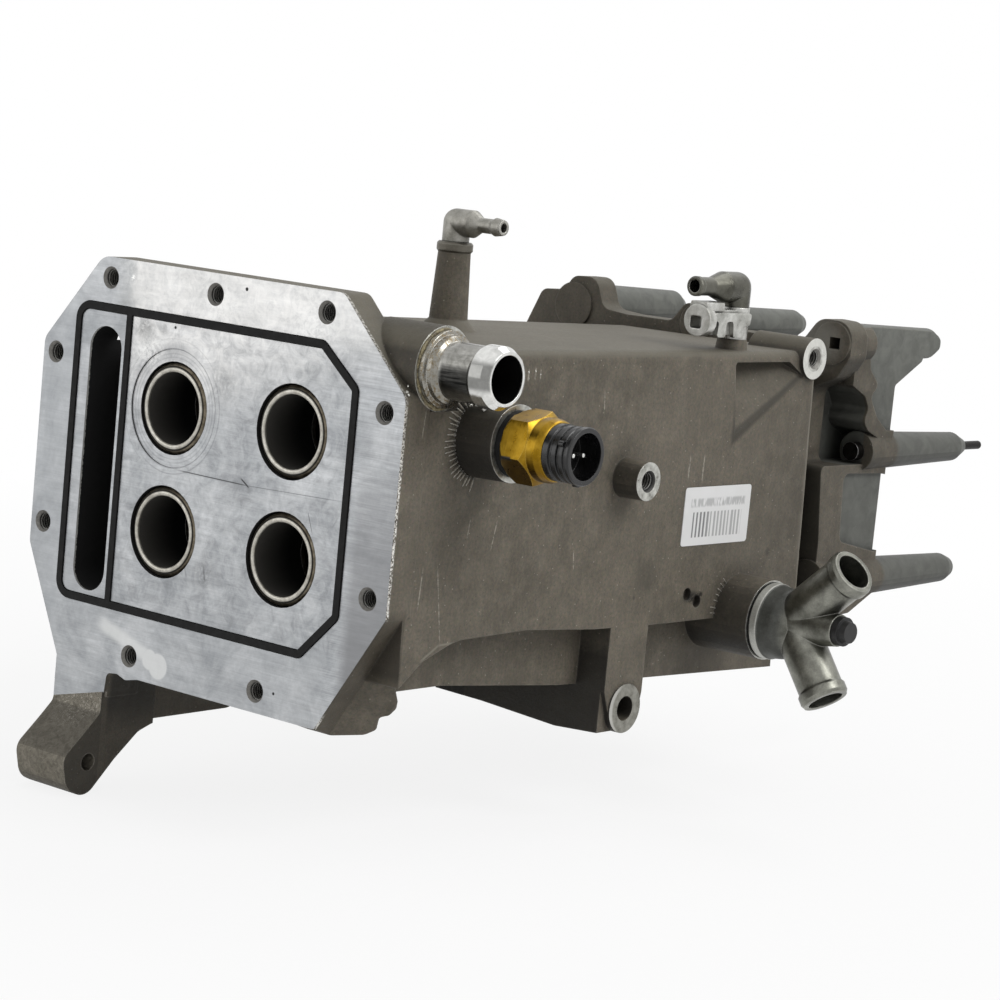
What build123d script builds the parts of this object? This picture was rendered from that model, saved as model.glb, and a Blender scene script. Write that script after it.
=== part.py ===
# EGR cooler: cast housing with a U-flow tube core. Millimetres, +Z up.
# The machined front face lies in y = 0 and faces -Y; the origin is the centre of its four gas ports.

import math
import os

from build123d import *

os.makedirs("parts", exist_ok=True)

# Clearances
SEAL_SIDE_GAP = 0.2
SLEEVE_GAP = 0.6
CORE_GAP = 1.5

# Front face
FLANGE_T = 14.0
WALL_Y = 26.0
FACE_OUTLINE = [
    (-78.6, 80.1, 9.0),
    (53.2, 80.1, 6.0),
    (88.35, 45.0, 6.0),
    (88.35, -38.0, 3.0),
    (57.2, -85.9, 2.5),
    (-40.0, -86.0, 6.0),
    (-46.8, -87.5, 3.0),
    (-51.8, -85.9, 2.5),
    (-57.7, -86.6, 2.5),
    (-58.6, -94.8, 0.0),
    (-88.1, -94.8, 0.0),
    (-87.9, -84.8, 2.0),
    (-109.5, -41.0, 6.0),
    (-109.5, 43.5, 6.0),
]
FACE_SCREWS = [
    (-73.3, 71.8),
    (-14.0, 71.8),
    (45.3, 71.8),
    (78.45, 38.35),
    (78.45, -31.7),
    (25.0, -77.5),
    (-45.8, -77.5),
    (-102.35, -31.7),
    (-102.35, 38.35),
]
M8_DRILL_R = 3.4
M8_MOUTH_R = 4.5
FACE_SCREW_DEPTH = 20.0

# Face seal and the groove it sits in
SEAL_LINE = [
    (-89.7, 59.75, 6.0),
    (45.1, 59.75, 3.0),
    (63.4, 45.0, 3.0),
    (63.4, -41.4, 3.0),
    (46.2, -58.9, 3.0),
    (-89.7, -58.9, 6.0),
]
SEAL_W = 3.0
SEAL_DEPTH = 3.0
SEAL_PROUD = 0.6
CROSSBAR_X = -60.4

# Coolant slot and gas ports
SLOT_X0, SLOT_X1 = -82.3, -64.0
SLOT_Z0, SLOT_Z1 = -55.4, 52.3
PORT_X, PORT_Z = 32.45, 24.65
PORT_BORE_R = 18.5
SLEEVE_R = PORT_BORE_R - SLEEVE_GAP
SLEEVE_BORE_R = 14.43
PORT_SPOT_R = 23.4
PORT_SEAL_Y0, PORT_SEAL_Y1 = 12.0, 15.6
PORT_SEAL_R = 20.2

# Body
SIDE_X = 88.0
BAND_X = 73.0
LEFT_X = -95.0
BODY_Y1 = 275.0
SKIN = 5.0

# Core: its height and width follow from the two banks of flat tubes
TUBE_W, TUBE_H, TUBE_WALL = 5.6, 37.0, 0.8
TUBE_PITCH = 12.0
TUBE_COLUMNS = 9
TUBE_MID_Z = 24.0
CORE_X = (TUBE_COLUMNS - 1) / 2 * TUBE_PITCH + TUBE_W / 2 + 6.2
CORE_Z = TUBE_MID_Z + TUBE_H / 2 + 2.5
CORE_BORE_X, CORE_BORE_Z = CORE_X + CORE_GAP, CORE_Z + CORE_GAP
TANK_Y0, TANK_Y1 = 26.6, 44.0
HEADER_T = 3.0
REAR_HEADER_Y0 = 292.0
TURN_Y1 = 320.0
PLATE_T = 2.0
BAFFLE_YS = [92.0, 142.0, 192.0, 242.0]

# Rear end, its lobed rib, the bolt sleeves and the cover
RIB_Y0, RIB_Y1 = 287.0, 300.0
REAR_Y1 = 336.0
REAR_SIDE_X = 70.0
SIDE_SLEEVE_X = 84.0
TOP_SLEEVES = [
    (-62.5, 65.2, 10.8, 7.9),
    (9.0, 65.2, 8.6, 6.7),
    (SIDE_SLEEVE_X, 65.2, 9.6, 7.0),
]
TOP_SLEEVE_Y1, MID_SLEEVE_Y1, LOW_SLEEVE_Y1 = 371.5, 406.0, 405.5
MID_SLEEVE_Z = 16.3
LOW_SLEEVE_Z = -41.8
LONG_BOLT_R = 2.0
LONG_BORE_R = 2.6
COVER_T = 6.0
COVER_SEAL_T = 1.0
COVER_X, COVER_Z = 68.0, 55.5
COVER_SCREW_R = 2.5
COVER_SCREWS = [
    (x, z) for z in (51.0, -51.0) for x in (-60.0, -20.0, 20.0, 60.0)
] + [(x, z) for x in (-64.3, 64.3) for z in (-17.0, 17.0)]

# Side fittings: (y, z) of each axis on the right-hand wall, and the x of its machined face
NIPPLE_AT, NIPPLE_FACE_X = (19.5, 56.0), 88.5
NIPPLE_SPIGOT_R, NIPPLE_BORE_R = 12.0, 9.0
SENSOR_AT, SENSOR_FACE_X = (45.5, 29.6), 105.5
SENSOR_THREAD_R = 8.0
PLUG_BOSS_AT, PLUG_BOSS_FACE_X = (139.0, 11.0), 100.0
TOP_BOSS_AT, TOP_BOSS_FACE_X = (265.0, 59.0), 90.0
OUTLET_AT, OUTLET_FACE_X = (229.0, -51.3), 105.0
OUTLET_SPIGOT_R, OUTLET_BORE_R = 11.0, 8.0
OUTLET_SEAL_T = 1.0
OUTLET_FLANGE_R = 16.4

# Vents on the top
TOWER_AT, TOWER_TOP_Z = (30.0, 88.0), 95.0
VENT_TUBE_R, VENT_BORE_R = 3.6, 1.9
STEM_AT, STEM_TOP_Z = (78.0, 218.0), 66.5

# Front foot and side lug
FOOT_X0, FOOT_X1 = -88.0, -59.6
FOOT_HOLE_AT, FOOT_HOLE_R = (-4.7, -123.4), 3.5
LUG_AT, LUG_R, LUG_HOLE_R = (154.0, -86.0), 10.4, 5.2

# Label
LABEL_Y0, LABEL_Y1 = 182.0, 229.5
LABEL_Z0, LABEL_Z1 = -19.8, 5.0
LABEL_T = 0.3


def ring_wire(corners, place):
    """Closed wire through (a, b, radius) corners, each rounded by its radius."""
    count = len(corners)
    trimmed = []
    for i, (a, b, radius) in enumerate(corners):
        here = Vector(a, b, 0)
        back = Vector(*corners[i - 1][:2], 0) - here
        ahead = Vector(*corners[(i + 1) % count][:2], 0) - here
        if radius == 0:
            trimmed.append((here, None, here))
            continue
        back, ahead = back.normalized(), ahead.normalized()
        half = math.radians(back.get_angle(ahead)) / 2
        reach = radius / math.tan(half)
        middle = (back + ahead).normalized()
        depth = radius / math.sin(half) - radius
        trimmed.append((here + back * reach, here + middle * depth, here + ahead * reach))
    edges = []
    for i, (start, mid, end) in enumerate(trimmed):
        if mid is not None:
            edges.append(Edge.make_three_point_arc(place(start), place(mid), place(end)))
        follow = trimmed[(i + 1) % count][0]
        if (follow - end).length > 1e-6:
            edges.append(Edge.make_line(place(end), place(follow)))
    return Wire(edges)


def with_radius(points, radius=0.0):
    """Corner list with one radius for every point that gives none."""
    return [p if len(p) == 3 else (p[0], p[1], radius) for p in points]


def prism_x(points, x0, x1, radius=0.0):
    """Solid with a (y, z) outline between two x planes."""
    wire = ring_wire(with_radius(points, radius), lambda v: Vector(x0, v.X, v.Y))
    return Solid.extrude(Face(wire), Vector(x1 - x0, 0, 0))


def prism_y(points, y0, y1, radius=0.0):
    """Solid with an (x, z) outline between two y planes."""
    wire = ring_wire(with_radius(points, radius), lambda v: Vector(v.X, y0, v.Y))
    return Solid.extrude(Face(wire), Vector(0, y1 - y0, 0))


def prism_z(points, z0, z1, radius=0.0):
    """Solid with an (x, y) outline between two z planes."""
    wire = ring_wire(with_radius(points, radius), lambda v: Vector(v.X, v.Y, z0))
    return Solid.extrude(Face(wire), Vector(0, 0, z1 - z0))


def block(x0, x1, y0, y1, z0, z1):
    return prism_z([(x0, y0), (x1, y0), (x1, y1), (x0, y1)], z0, z1)


def turned(profile, origin, direction, radius=0.0):
    """Solid turned from (r, h) corners about an axis through origin."""
    plane = Plane(origin=origin, z_dir=direction)
    wire = ring_wire(
        with_radius(profile, radius),
        lambda v: plane.origin + plane.x_dir * v.X + plane.z_dir * v.Y,
    )
    return Solid.revolve(Face(wire), 360, Axis(plane.origin, plane.z_dir))


def rod(r, start, end, end_r=None):
    """Round bar or cone from one point to another."""
    start, end = Vector(start), Vector(end)
    plane = Plane(origin=start, z_dir=end - start)
    length = (end - start).length
    if end_r is None or end_r == r:
        return Solid.make_cylinder(r, length, plane)
    return Solid.make_cone(r, end_r, length, plane)


def whole(result):
    """One solid or compound from the result of a boolean."""
    solids = result.solids() if hasattr(result, "solids") else [s for p in result for s in p.solids()]
    return solids[0] if len(solids) == 1 else Compound(list(solids))


def joined(parts):
    """Fused one after another, which is the surer way with this many curved parts."""
    result, *rest = parts
    for part in rest:
        before = result.volume
        result = whole(result.fuse(part))
        if result.volume < before - 1:
            raise ValueError("a fuse lost material")
    return result


def less(solid, cutters):
    for cutter in cutters:
        solid = whole(solid.cut(cutter))
    return solid


def common(first, second):
    return whole(first.intersect(second))


def write(node, shape):
    """Write one node; several solids go out as one compound."""
    out = whole(shape)
    out.label = node
    export_step(out, f"parts/{node}.step")


def seal_band(width, y0, y1):
    """The seal's closed run and its crossbar, as a solid of the given width."""
    half = width / 2
    outer, inner = [], []
    count = len(SEAL_LINE)
    for i, (x, z, r) in enumerate(SEAL_LINE):
        here = Vector(x, z, 0)
        back = (Vector(*SEAL_LINE[i - 1][:2], 0) - here).normalized()
        ahead = (Vector(*SEAL_LINE[(i + 1) % count][:2], 0) - here).normalized()
        angle = math.radians(back.get_angle(ahead)) / 2
        inward = (back + ahead).normalized() * (half / math.sin(angle))
        far, near = here - inward, here + inward
        outer.append((far.X, far.Y, r + half))
        inner.append((near.X, near.Y, r - half))
    run = less(prism_y(outer, y0, y1), [prism_y(inner, y0, y1)])
    top, bottom = SEAL_LINE[0][1], SEAL_LINE[-1][1]
    bar = block(CROSSBAR_X - half, CROSSBAR_X + half, y0, y1, bottom, top)
    return joined([run, bar])


def tube_slots(y0, y1, grow=0.0):
    """Solid bars where the flat tubes run."""
    bars = []
    for side in (1, -1):
        for column in range(TUBE_COLUMNS):
            x = (column - (TUBE_COLUMNS - 1) / 2) * TUBE_PITCH
            w, h = TUBE_W / 2 + grow, TUBE_H / 2 + grow
            z = side * TUBE_MID_Z
            bars.append(block(x - w, x + w, y0, y1, z - h, z + h))
    return bars


# Housing, outer shape
flange = prism_y(FACE_OUTLINE, 0, FLANGE_T)

front_section = [(SIDE_X, -90), (SIDE_X, 62.4), (20, 66.8), (-24, 64.5), (-62, 54.5), (LEFT_X, 40), (LEFT_X, -90)]
back_section = [(SIDE_X, -90), (SIDE_X, 62.0), (20, 60.2), (-24, 59.9), (-62, 52.9), (LEFT_X, 40), (LEFT_X, -90)]
body_sections = [
    ring_wire(with_radius(points), lambda v, y=y: Vector(v.X, y, v.Y))
    for points, y in ((front_section, 10.0), (back_section, BODY_Y1 + 12))
]
ledge_line = [
    (10.0, -66.0),
    (24.0, -55.5, 8.0),
    (42.0, -49.0, 30.0),
    (84.0, -48.0, 60.0),
    (129.0, -51.0, 60.0),
    (168.0, -52.0, 60.0),
    (BODY_Y1 + 12, -52.8),
    (BODY_Y1 + 12, 70.0),
    (10.0, 70.0),
]
upper = common(prism_x(ledge_line, LEFT_X, SIDE_X), Solid.make_loft(body_sections, ruled=True))
side_edges = [e for e in upper.edges() if e.center().X > SIDE_X - 0.01]
upper = upper.fillet(4.0, [e for e in side_edges if e.center().Z > 61])
corner_cut = prism_z([(60, 5), (100, 5), (100, 34), (88.5, 44), (60, 44)], 40, 80)
corner_keep = prism_y([(60, 40), (60, 62.2), (66.0, 62.2, 4.0), (84.0, 44.0, 3.0), (84.0, 40)], 5, 44)
upper = joined([less(upper, [corner_cut]), corner_keep])

band_line = [
    (20.0, -40.0),
    (20.0, -70.5),
    (53.0, -70.5, 40.0),
    (128.0, -77.0, 60.0),
    (BODY_Y1 + 12, -82.4),
    (BODY_Y1 + 12, -40.0),
]
band_section = [
    (BAND_X, -30.0),
    (BAND_X, -90.0),
    (-80.0, -90.0),
    (LEFT_X, -52.0),
    (LEFT_X, -30.0),
]
band = common(prism_x(band_line, LEFT_X, BAND_X), prism_y(band_section, 10, BODY_Y1 + 12))

# The rear end leans: it stands further back at the bottom, with a wide rounding at the corner
END_LEAN = Vector(0, 7.3, -160)
end_outline = ring_wire(
    with_radius([(LEFT_X - 1, 5), (SIDE_X, 5), (SIDE_X, BODY_Y1, 10.0), (LEFT_X - 1, BODY_Y1)]),
    lambda v: Vector(v.X, v.Y, 70.0),
)
end_block = Solid.extrude(Face(end_outline), END_LEAN)
upper = common(upper, end_block)
band = common(band, end_block)

# Heel behind the lower right chamfer of the flange: it flares outwards as it runs back, and ends in two tiers
heel_outline = [(88.0, -34.0), (88.0, -38.6), (54.5, -90.0), (44.0, -90.0), (44.0, -34.0)]
heel_root = prism_y(heel_outline, 1.0, 11.0)
heel_face = Face(ring_wire(with_radius(heel_outline), lambda v: Vector(v.X, 11.0, v.Y)))
heel_shift = Vector(8.5, 15.0, -3.0)
heel_flare = Solid.extrude(heel_face, heel_shift)
heel_run = Solid.extrude(heel_face.translate(heel_shift), Vector(0, 6.0, 0))
heel_side = prism_x(
    [
        (1.0, -30.0),
        (1.0, -86.0),
        (12.0, -89.8, 4.0),
        (22.6, -89.0, 3.0),
        (25.3, -86.6, 1.5),
        (23.6, -81.0, 1.0),
        (26.8, -79.8, 1.5),
        (28.2, -77.2, 1.5),
        (23.2, -69.2, 1.5),
        (20.5, -62.0, 2.0),
        (22.0, -54.0),
        (22.0, -30.0),
    ],
    44,
    SIDE_X,
)
heel = common(joined([heel_root, heel_flare, heel_run]), heel_side)

rear_box = prism_y(
    [(REAR_SIDE_X, -62), (REAR_SIDE_X, 56, 6), (-60, 54, 10), (-88, 40, 10), (-88, -50, 10), (-76, -62, 6)],
    BODY_Y1 - 8,
    REAR_Y1,
)

rear_outline = [
    (88.0, -60.0, 8.0),
    (88.0, 9.0, 4.0),
    (74.5, 11.0, 4.0),
    (74.5, 44.0, 6.0),
    (88.0, 50.0, 6.0),
    (94.0, 60.0, 8.0),
    (93.0, 75.0, 8.0),
    (76.0, 75.6, 8.0),
    (68.0, 64.6, 6.0),
    (22.0, 64.6, 5.0),
    (15.0, 73.8, 6.0),
    (2.0, 73.8, 6.0),
    (-5.0, 64.6, 5.0),
    (-31.0, 64.4, 5.0),
    (-45.0, 65.6, 6.0),
    (-50.5, 79.4, 7.0),
    (-64.0, 79.0, 6.0),
    (-69.5, 71.4, 3.0),
    (-82.0, 71.0, 5.0),
    (-91.0, 52.0, 8.0),
    (-95.0, 40.0, 8.0),
    (-95.0, -50.0, 10.0),
    (-84.0, -62.0, 8.0),
]
rear_rib = prism_y(rear_outline, RIB_Y0, RIB_Y1)

web = prism_x(
    [
        (RIB_Y1 - 1, 58.0),
        (RIB_Y1 - 1, 46.8),
        (309.0, 42.0, 4.0),
        (313.3, 35.5, 4.0),
        (309.6, 30.7, 4.0),
        (315.0, 26.0, 4.0),
        (324.0, 22.5, 4.0),
        (327.0, 16.0, 3.0),
        (324.0, 10.8, 2.0),
        (282.5, 10.8, 3.0),
        (287.5, -28.0, 20.0),
        (288.0, -60.0),
        (318.0, -57.5, 4.0),
        (REAR_Y1, -49.5),
        (REAR_Y1, 46.4, 2.0),
        (357.5, 57.6, 3.0),
        (357.5, 60.0),
    ],
    REAR_SIDE_X - 1,
    SIDE_X,
)
web_panel = prism_x([(301.5, 7.0), (338, 6.0), (338, -31.0), (304, -24.0)], SIDE_X - 2.2, SIDE_X + 1, 4.0)
web_rim = prism_x(
    [
        (298.0, 60.0),
        (298.0, 47.0),
        (309.0, 42.0, 4.0),
        (313.3, 35.5, 4.0),
        (309.6, 30.7, 4.0),
        (315.0, 26.0, 4.0),
        (324.0, 22.5, 4.0),
        (327.0, 16.0, 3.0),
        (REAR_Y1, 16.0),
        (REAR_Y1, 26.0),
        (330.0, 26.0, 3.0),
        (321.0, 32.0, 4.0),
        (313.5, 41.5, 3.0),
        (319.0, 47.0, 2.5),
        (311.0, 54.0, 3.0),
        (309.7, 60.0, 3.0),
        (309.7, 72.0),
        (298.0, 72.0),
    ],
    SIDE_X - 3,
    SIDE_X + 2.0,
)
arm_flat = prism_x(
    [(309.7, 80), (309.7, 60), (311, 54), (319, 47), (330, 26), (345, 26), (345, 46), (380, 60), (380, 80)],
    SIDE_X,
    SIDE_X + 12,
)


def bolt_sleeve(x, z, y0, y1, r0, r1, tip_r, tip_len):
    """Long tapered sleeve along +Y with a rounded or conical tip."""
    profile = [(0, 0), (r0, 0), (r1, y1 - tip_len - y0, 3.0), (tip_r, y1 - y0, 1.5), (0, y1 - y0)]
    return turned(profile, (x, y0, z), (0, 1, 0))


sleeves = [bolt_sleeve(x, z, RIB_Y0 - 1, TOP_SLEEVE_Y1, r0, r1, 4.2, 7.0) for x, z, r0, r1 in TOP_SLEEVES]
sleeves[-1] = less(sleeves[-1], [arm_flat])
sleeves += [
    bolt_sleeve(SIDE_SLEEVE_X, MID_SLEEVE_Z, 316.0, MID_SLEEVE_Y1, 9.0, 6.8, 3.4, 9.5),
    bolt_sleeve(SIDE_SLEEVE_X, LOW_SLEEVE_Z, RIB_Y0 - 1, LOW_SLEEVE_Y1, 10.0, 6.8, 4.6, 7.0),
]

# Foot at the lower left of the face, with its web running back under the housing
foot = prism_x(
    [
        (0, -70),
        (0, -103.5, 4.0),
        (-7.2, -110.4, 6.0),
        (-18.5, -120.6, 6.0),
        (-15.6, -133.5, 8.0),
        (-5.0, -138.4, 8.0),
        (9.8, -123.6, 6.0),
        (22.0, -113.4, 8.0),
        (30.0, -110.6, 10.0),
        (84.0, -110.2, 8.0),
        (92.0, -84.0, 6.0),
        (100.0, -70.0),
    ],
    FOOT_X0,
    FOOT_X1,
)
foot_pad = prism_x([(1.8, -86), (1.8, -97.2, 1.0), (19.2, -97.2, 1.0), (19.2, -88)], FOOT_X1 - 1, FOOT_X1 + 0.9)
foot_sides = [(FOOT_X0 - 1, FOOT_X0 + 6), (FOOT_X1 - 6, FOOT_X1 + 1)]
foot = less(foot, [block(x0, x1, 30, 110, -120, -60) for x0, x1 in foot_sides])

# Side lug and its cross web
rib = prism_x([(140, -47), (165.5, -47), (165.5, -80), (164, -88), (144, -88), (140, -78)], BAND_X - 5, SIDE_X)
lug = rod(LUG_R, (BAND_X - 6, *LUG_AT), (SIDE_X + 0.8, *LUG_AT))
cross_web = prism_y([(-2, -60), (-2, -94.0), (24, -94.6, 30), (64, -97.0, 12), (86, -95.6), (86, -60)], 140, 150)

# Bosses
side_bosses = [
    rod(16.2, (60, *NIPPLE_AT), (NIPPLE_FACE_X, *NIPPLE_AT)),
    rod(15.6, (78, *SENSOR_AT), (SENSOR_FACE_X, *SENSOR_AT), 15.0),
    rod(8.6, (78, *PLUG_BOSS_AT), (PLUG_BOSS_FACE_X, *PLUG_BOSS_AT), 7.9),
    rod(9.0, (60, *TOP_BOSS_AT), (TOP_BOSS_FACE_X, *TOP_BOSS_AT)),
    rod(17.6, (60, *OUTLET_AT), (OUTLET_FACE_X, *OUTLET_AT), 17.2),
]
tower_pad = rod(16.0, (*TOWER_AT, 60), (*TOWER_AT, 68.5), 7.6)
tower = rod(8.2, (*TOWER_AT, 60), (*TOWER_AT, TOWER_TOP_Z), 6.6)
stem_pad = rod(7.4, (*STEM_AT, 58), (*STEM_AT, STEM_TOP_Z), 6.3)

housing = joined(
    [
        flange,
        upper,
        band,
        heel,
        rear_box,
        rear_rib,
        web,
        web_rim,
        foot,
        foot_pad,
        rib,
        lug,
        cross_web,
        tower_pad,
        tower,
        stem_pad,
    ]
    + side_bosses
    + sleeves
)

# Housing, inside
jacket_roof = [(20.0, 55.6, 40.0), (-24.0, 54.6, 10.0), (-60.0, 47.0, 10.0), (LEFT_X + SKIN, 35.0, 6.0)]
jacket_floor = [(LEFT_X + SKIN, -52.0, 6.0), (-77.0, -65.0, 6.0)]
jacket_front = prism_y(
    [(SIDE_X - SKIN, -43.0, 3.0), (SIDE_X - SKIN, 56.5, 4.0)]
    + jacket_roof
    + jacket_floor
    + [(67.0, -65.0, 6.0), (67.0, -43.0, 3.0)],
    WALL_Y,
    198.0,
)
jacket_rear = prism_y([(66.0, 56.0, 4.0)] + jacket_roof + jacket_floor + [(66.0, -65.0, 6.0)], 190.0, 258.0)
jacket_end = prism_y(
    [(65.0, 50.0, 4.0), (-62.0, 48.0, 8.0), (-82.0, 36.0, 6.0), (-82.0, -48.0, 6.0), (-74.0, -56.0, 6.0), (65.0, -56.0, 4.0)],
    250.0,
    REAR_HEADER_Y0 - 2,
)
core_bore = block(-CORE_BORE_X, CORE_BORE_X, WALL_Y, REAR_Y1 + 1, -CORE_BORE_Z, CORE_BORE_Z)
slot = prism_y(
    [(SLOT_X0, SLOT_Z0), (SLOT_X1, SLOT_Z0), (SLOT_X1, SLOT_Z1), (SLOT_X0, SLOT_Z1)],
    -1,
    WALL_Y + 1,
    (SLOT_X1 - SLOT_X0) / 2 - 0.01,
)
groove = seal_band(SEAL_W + 2 * SEAL_SIDE_GAP, -1, SEAL_DEPTH)
PORTS = [(sx * PORT_X, sz * PORT_Z) for sz in (1, -1) for sx in (-1, 1)]
cuts = [jacket_front, jacket_rear, jacket_end, core_bore, slot, groove, web_panel]
for x, z in PORTS:
    cuts.append(rod(PORT_BORE_R, (x, -1, z), (x, WALL_Y + 1, z)))
    cuts.append(rod(PORT_SEAL_R, (x, PORT_SEAL_Y0, z), (x, PORT_SEAL_Y1, z)))
spot_x, spot_z = PORTS[0]
cuts.append(rod(PORT_SPOT_R, (spot_x, -1, spot_z), (spot_x, 0.5, spot_z)))
for x, z in FACE_SCREWS:
    cuts.append(rod(M8_DRILL_R, (x, -1, z), (x, FACE_SCREW_DEPTH, z)))
    cuts.append(rod(M8_MOUTH_R + 1, (x, -1, z), (x, M8_MOUTH_R - M8_DRILL_R, z), M8_DRILL_R))

# Passages behind the side fittings and the vents
cuts += [
    rod(NIPPLE_SPIGOT_R, (80, *NIPPLE_AT), (NIPPLE_FACE_X + 1, *NIPPLE_AT)),
    rod(NIPPLE_BORE_R, (66, *NIPPLE_AT), (81, *NIPPLE_AT)),
    block(60, 79, 16, WALL_Y + 2, 44, 56),
    rod(SENSOR_THREAD_R, (80, *SENSOR_AT), (SENSOR_FACE_X + 1, *SENSOR_AT)),
    rod(M8_DRILL_R, (86, *PLUG_BOSS_AT), (PLUG_BOSS_FACE_X + 1, *PLUG_BOSS_AT)),
    rod(M8_DRILL_R, (70, *TOP_BOSS_AT), (TOP_BOSS_FACE_X + 1, *TOP_BOSS_AT)),
    rod(OUTLET_SPIGOT_R, (86, *OUTLET_AT), (OUTLET_FACE_X + 1, *OUTLET_AT)),
    rod(OUTLET_BORE_R, (62, *OUTLET_AT), (87, *OUTLET_AT)),
    rod(VENT_BORE_R, (*TOWER_AT, 50), (*TOWER_AT, TOWER_TOP_Z + 1)),
    rod(VENT_BORE_R, (STEM_AT[0] - 22, STEM_AT[1], STEM_TOP_Z - 20.2), (STEM_AT[0] + 1, STEM_AT[1], STEM_TOP_Z + 0.9)),
    rod(LUG_HOLE_R, (BAND_X - 6, *LUG_AT), (SIDE_X + 2, *LUG_AT)),
    rod(FOOT_HOLE_R, (FOOT_X0 - 1, *FOOT_HOLE_AT), (FOOT_X1 + 1, *FOOT_HOLE_AT)),
]
for (y, z), face in ((PLUG_BOSS_AT, PLUG_BOSS_FACE_X), (TOP_BOSS_AT, TOP_BOSS_FACE_X)):
    depth = M8_MOUTH_R - M8_DRILL_R
    cuts.append(rod(M8_DRILL_R, (face - depth, y, z), (face + 1, y, z), M8_MOUTH_R + 1))
cuts.append(rod(LONG_BORE_R, (SIDE_SLEEVE_X, 310, MID_SLEEVE_Z), (SIDE_SLEEVE_X, MID_SLEEVE_Y1 + 1, MID_SLEEVE_Z)))
cuts.append(block(82.9, 88.3, RIB_Y0 - 1, RIB_Y0 + 7, 62.8, 67.9))
for x, z in COVER_SCREWS:
    cuts.append(rod(COVER_SCREW_R, (x, REAR_Y1 - 11, z), (x, REAR_Y1 + 1, z)))

# Pocket under the top rear boss: deepest at its front upper corner, running out along the diagonal
pocket = prism_x([(208.5, 57.5), (213.5, 25.0), (262.0, 50.5), (249.0, 57.5)], 72, SIDE_X + 1, 1.5)
floor_plane = Plane(
    origin=(SIDE_X + 0.3, 214, 26),
    z_dir=Vector(0, 48, 24.8).cross(Vector(-14.5, -3, 30)),
)
pocket = pocket.split(floor_plane, keep=Keep.BOTTOM if floor_plane.z_dir.X < 0 else Keep.TOP)
cuts.append(pocket)
peanut = [(190.8, -40.6), (198.2, -44.2)]
for at in peanut:
    cuts.append(rod(2.7, (SIDE_X - 3, *at), (SIDE_X + 1, *at)))

housing = less(housing, cuts)
write("housing", housing)

# Face seal
face_seal = seal_band(SEAL_W, -SEAL_PROUD, SEAL_DEPTH)
write("face_seal", face_seal)

# Gas port sleeves and their seal rings
PORT_NAMES = ["upper_left", "upper_right", "lower_left", "lower_right"]
SLEEVE_Y0 = 0.4
for name, (x, z) in zip(PORT_NAMES, PORTS):
    length = TANK_Y0 - SLEEVE_Y0
    profile = [(SLEEVE_BORE_R, 0), (SLEEVE_R - 1.2, 0), (SLEEVE_R, 1.2), (SLEEVE_R, length), (SLEEVE_BORE_R, length)]
    write(f"port_sleeve_{name}", turned(profile, (x, SLEEVE_Y0, z), (0, 1, 0)))
rings = []
for x, z in PORTS:
    outer = rod(PORT_SEAL_R, (x, PORT_SEAL_Y0, z), (x, PORT_SEAL_Y1, z))
    rings.append(less(outer, [rod(SLEEVE_R, (x, PORT_SEAL_Y0, z), (x, PORT_SEAL_Y1, z))]))
write("port_seals", rings)

# Core
tank = block(-CORE_X, CORE_X, TANK_Y0, TANK_Y1, -CORE_Z, CORE_Z)
for sx in (1, -1):
    for sz in (1, -1):
        xs = sorted((sx * 1.5, sx * (CORE_X - PLATE_T)))
        zs = sorted((sz * 1.5, sz * (CORE_Z - PLATE_T)))
        tank = less(tank, [block(*xs, TANK_Y0 + PLATE_T, TANK_Y1 + 1, *zs)])
tank = less(tank, [rod(SLEEVE_BORE_R, (x, TANK_Y0 - 1, z), (x, TANK_Y0 + 5, z)) for x, z in PORTS])
write("core_front_tank", tank)

header_y1 = TANK_Y1 + HEADER_T
front_header = block(-CORE_X, CORE_X, TANK_Y1, header_y1, -CORE_Z, CORE_Z)
write("core_front_header", less(front_header, tube_slots(TANK_Y1 - 1, header_y1 + 1)))

rear_header_y1 = REAR_HEADER_Y0 + HEADER_T
rear_header = block(-CORE_X, CORE_X, REAR_HEADER_Y0, rear_header_y1, -CORE_Z, CORE_Z)
write("core_rear_header", less(rear_header, tube_slots(REAR_HEADER_Y0 - 1, rear_header_y1 + 1)))

outer_bars = tube_slots(TANK_Y1, rear_header_y1)
inner_bars = tube_slots(TANK_Y1 - 1, rear_header_y1 + 1, -TUBE_WALL)
write("core_tubes", [less(outer, [inner]) for outer, inner in zip(outer_bars, inner_bars)])

baffles = []
for i, y in enumerate(BAFFLE_YS):
    x0, x1 = (-CORE_X, CORE_X - 14) if i % 2 else (-CORE_X + 14, CORE_X)
    plate = block(x0, x1, y, y + 1.5, -CORE_Z, CORE_Z)
    baffles.append(less(plate, tube_slots(y - 1, y + 3)))
write("core_baffles", baffles)

turn_box = block(-CORE_X, CORE_X, rear_header_y1, TURN_Y1, -CORE_Z, CORE_Z)
turn_hollow = block(
    -CORE_X + PLATE_T, CORE_X - PLATE_T, rear_header_y1 - 1, TURN_Y1 - PLATE_T, -CORE_Z + PLATE_T, CORE_Z - PLATE_T
)
collar = block(-CORE_BORE_X + 0.3, CORE_BORE_X - 0.3, 300, 310, -CORE_BORE_Z + 0.3, CORE_BORE_Z - 0.3)
seal_recess = block(-CORE_BORE_X, CORE_BORE_X, 303.5, 306.5, -CORE_BORE_Z, CORE_BORE_Z)
core_body = block(-CORE_X, CORE_X, 298, 320, -CORE_Z, CORE_Z)
turn_box = less(joined([turn_box, less(collar, [seal_recess])]), [turn_hollow])
write("core_turn_box", turn_box)
write("core_seal", less(seal_recess, [core_body]))

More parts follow.
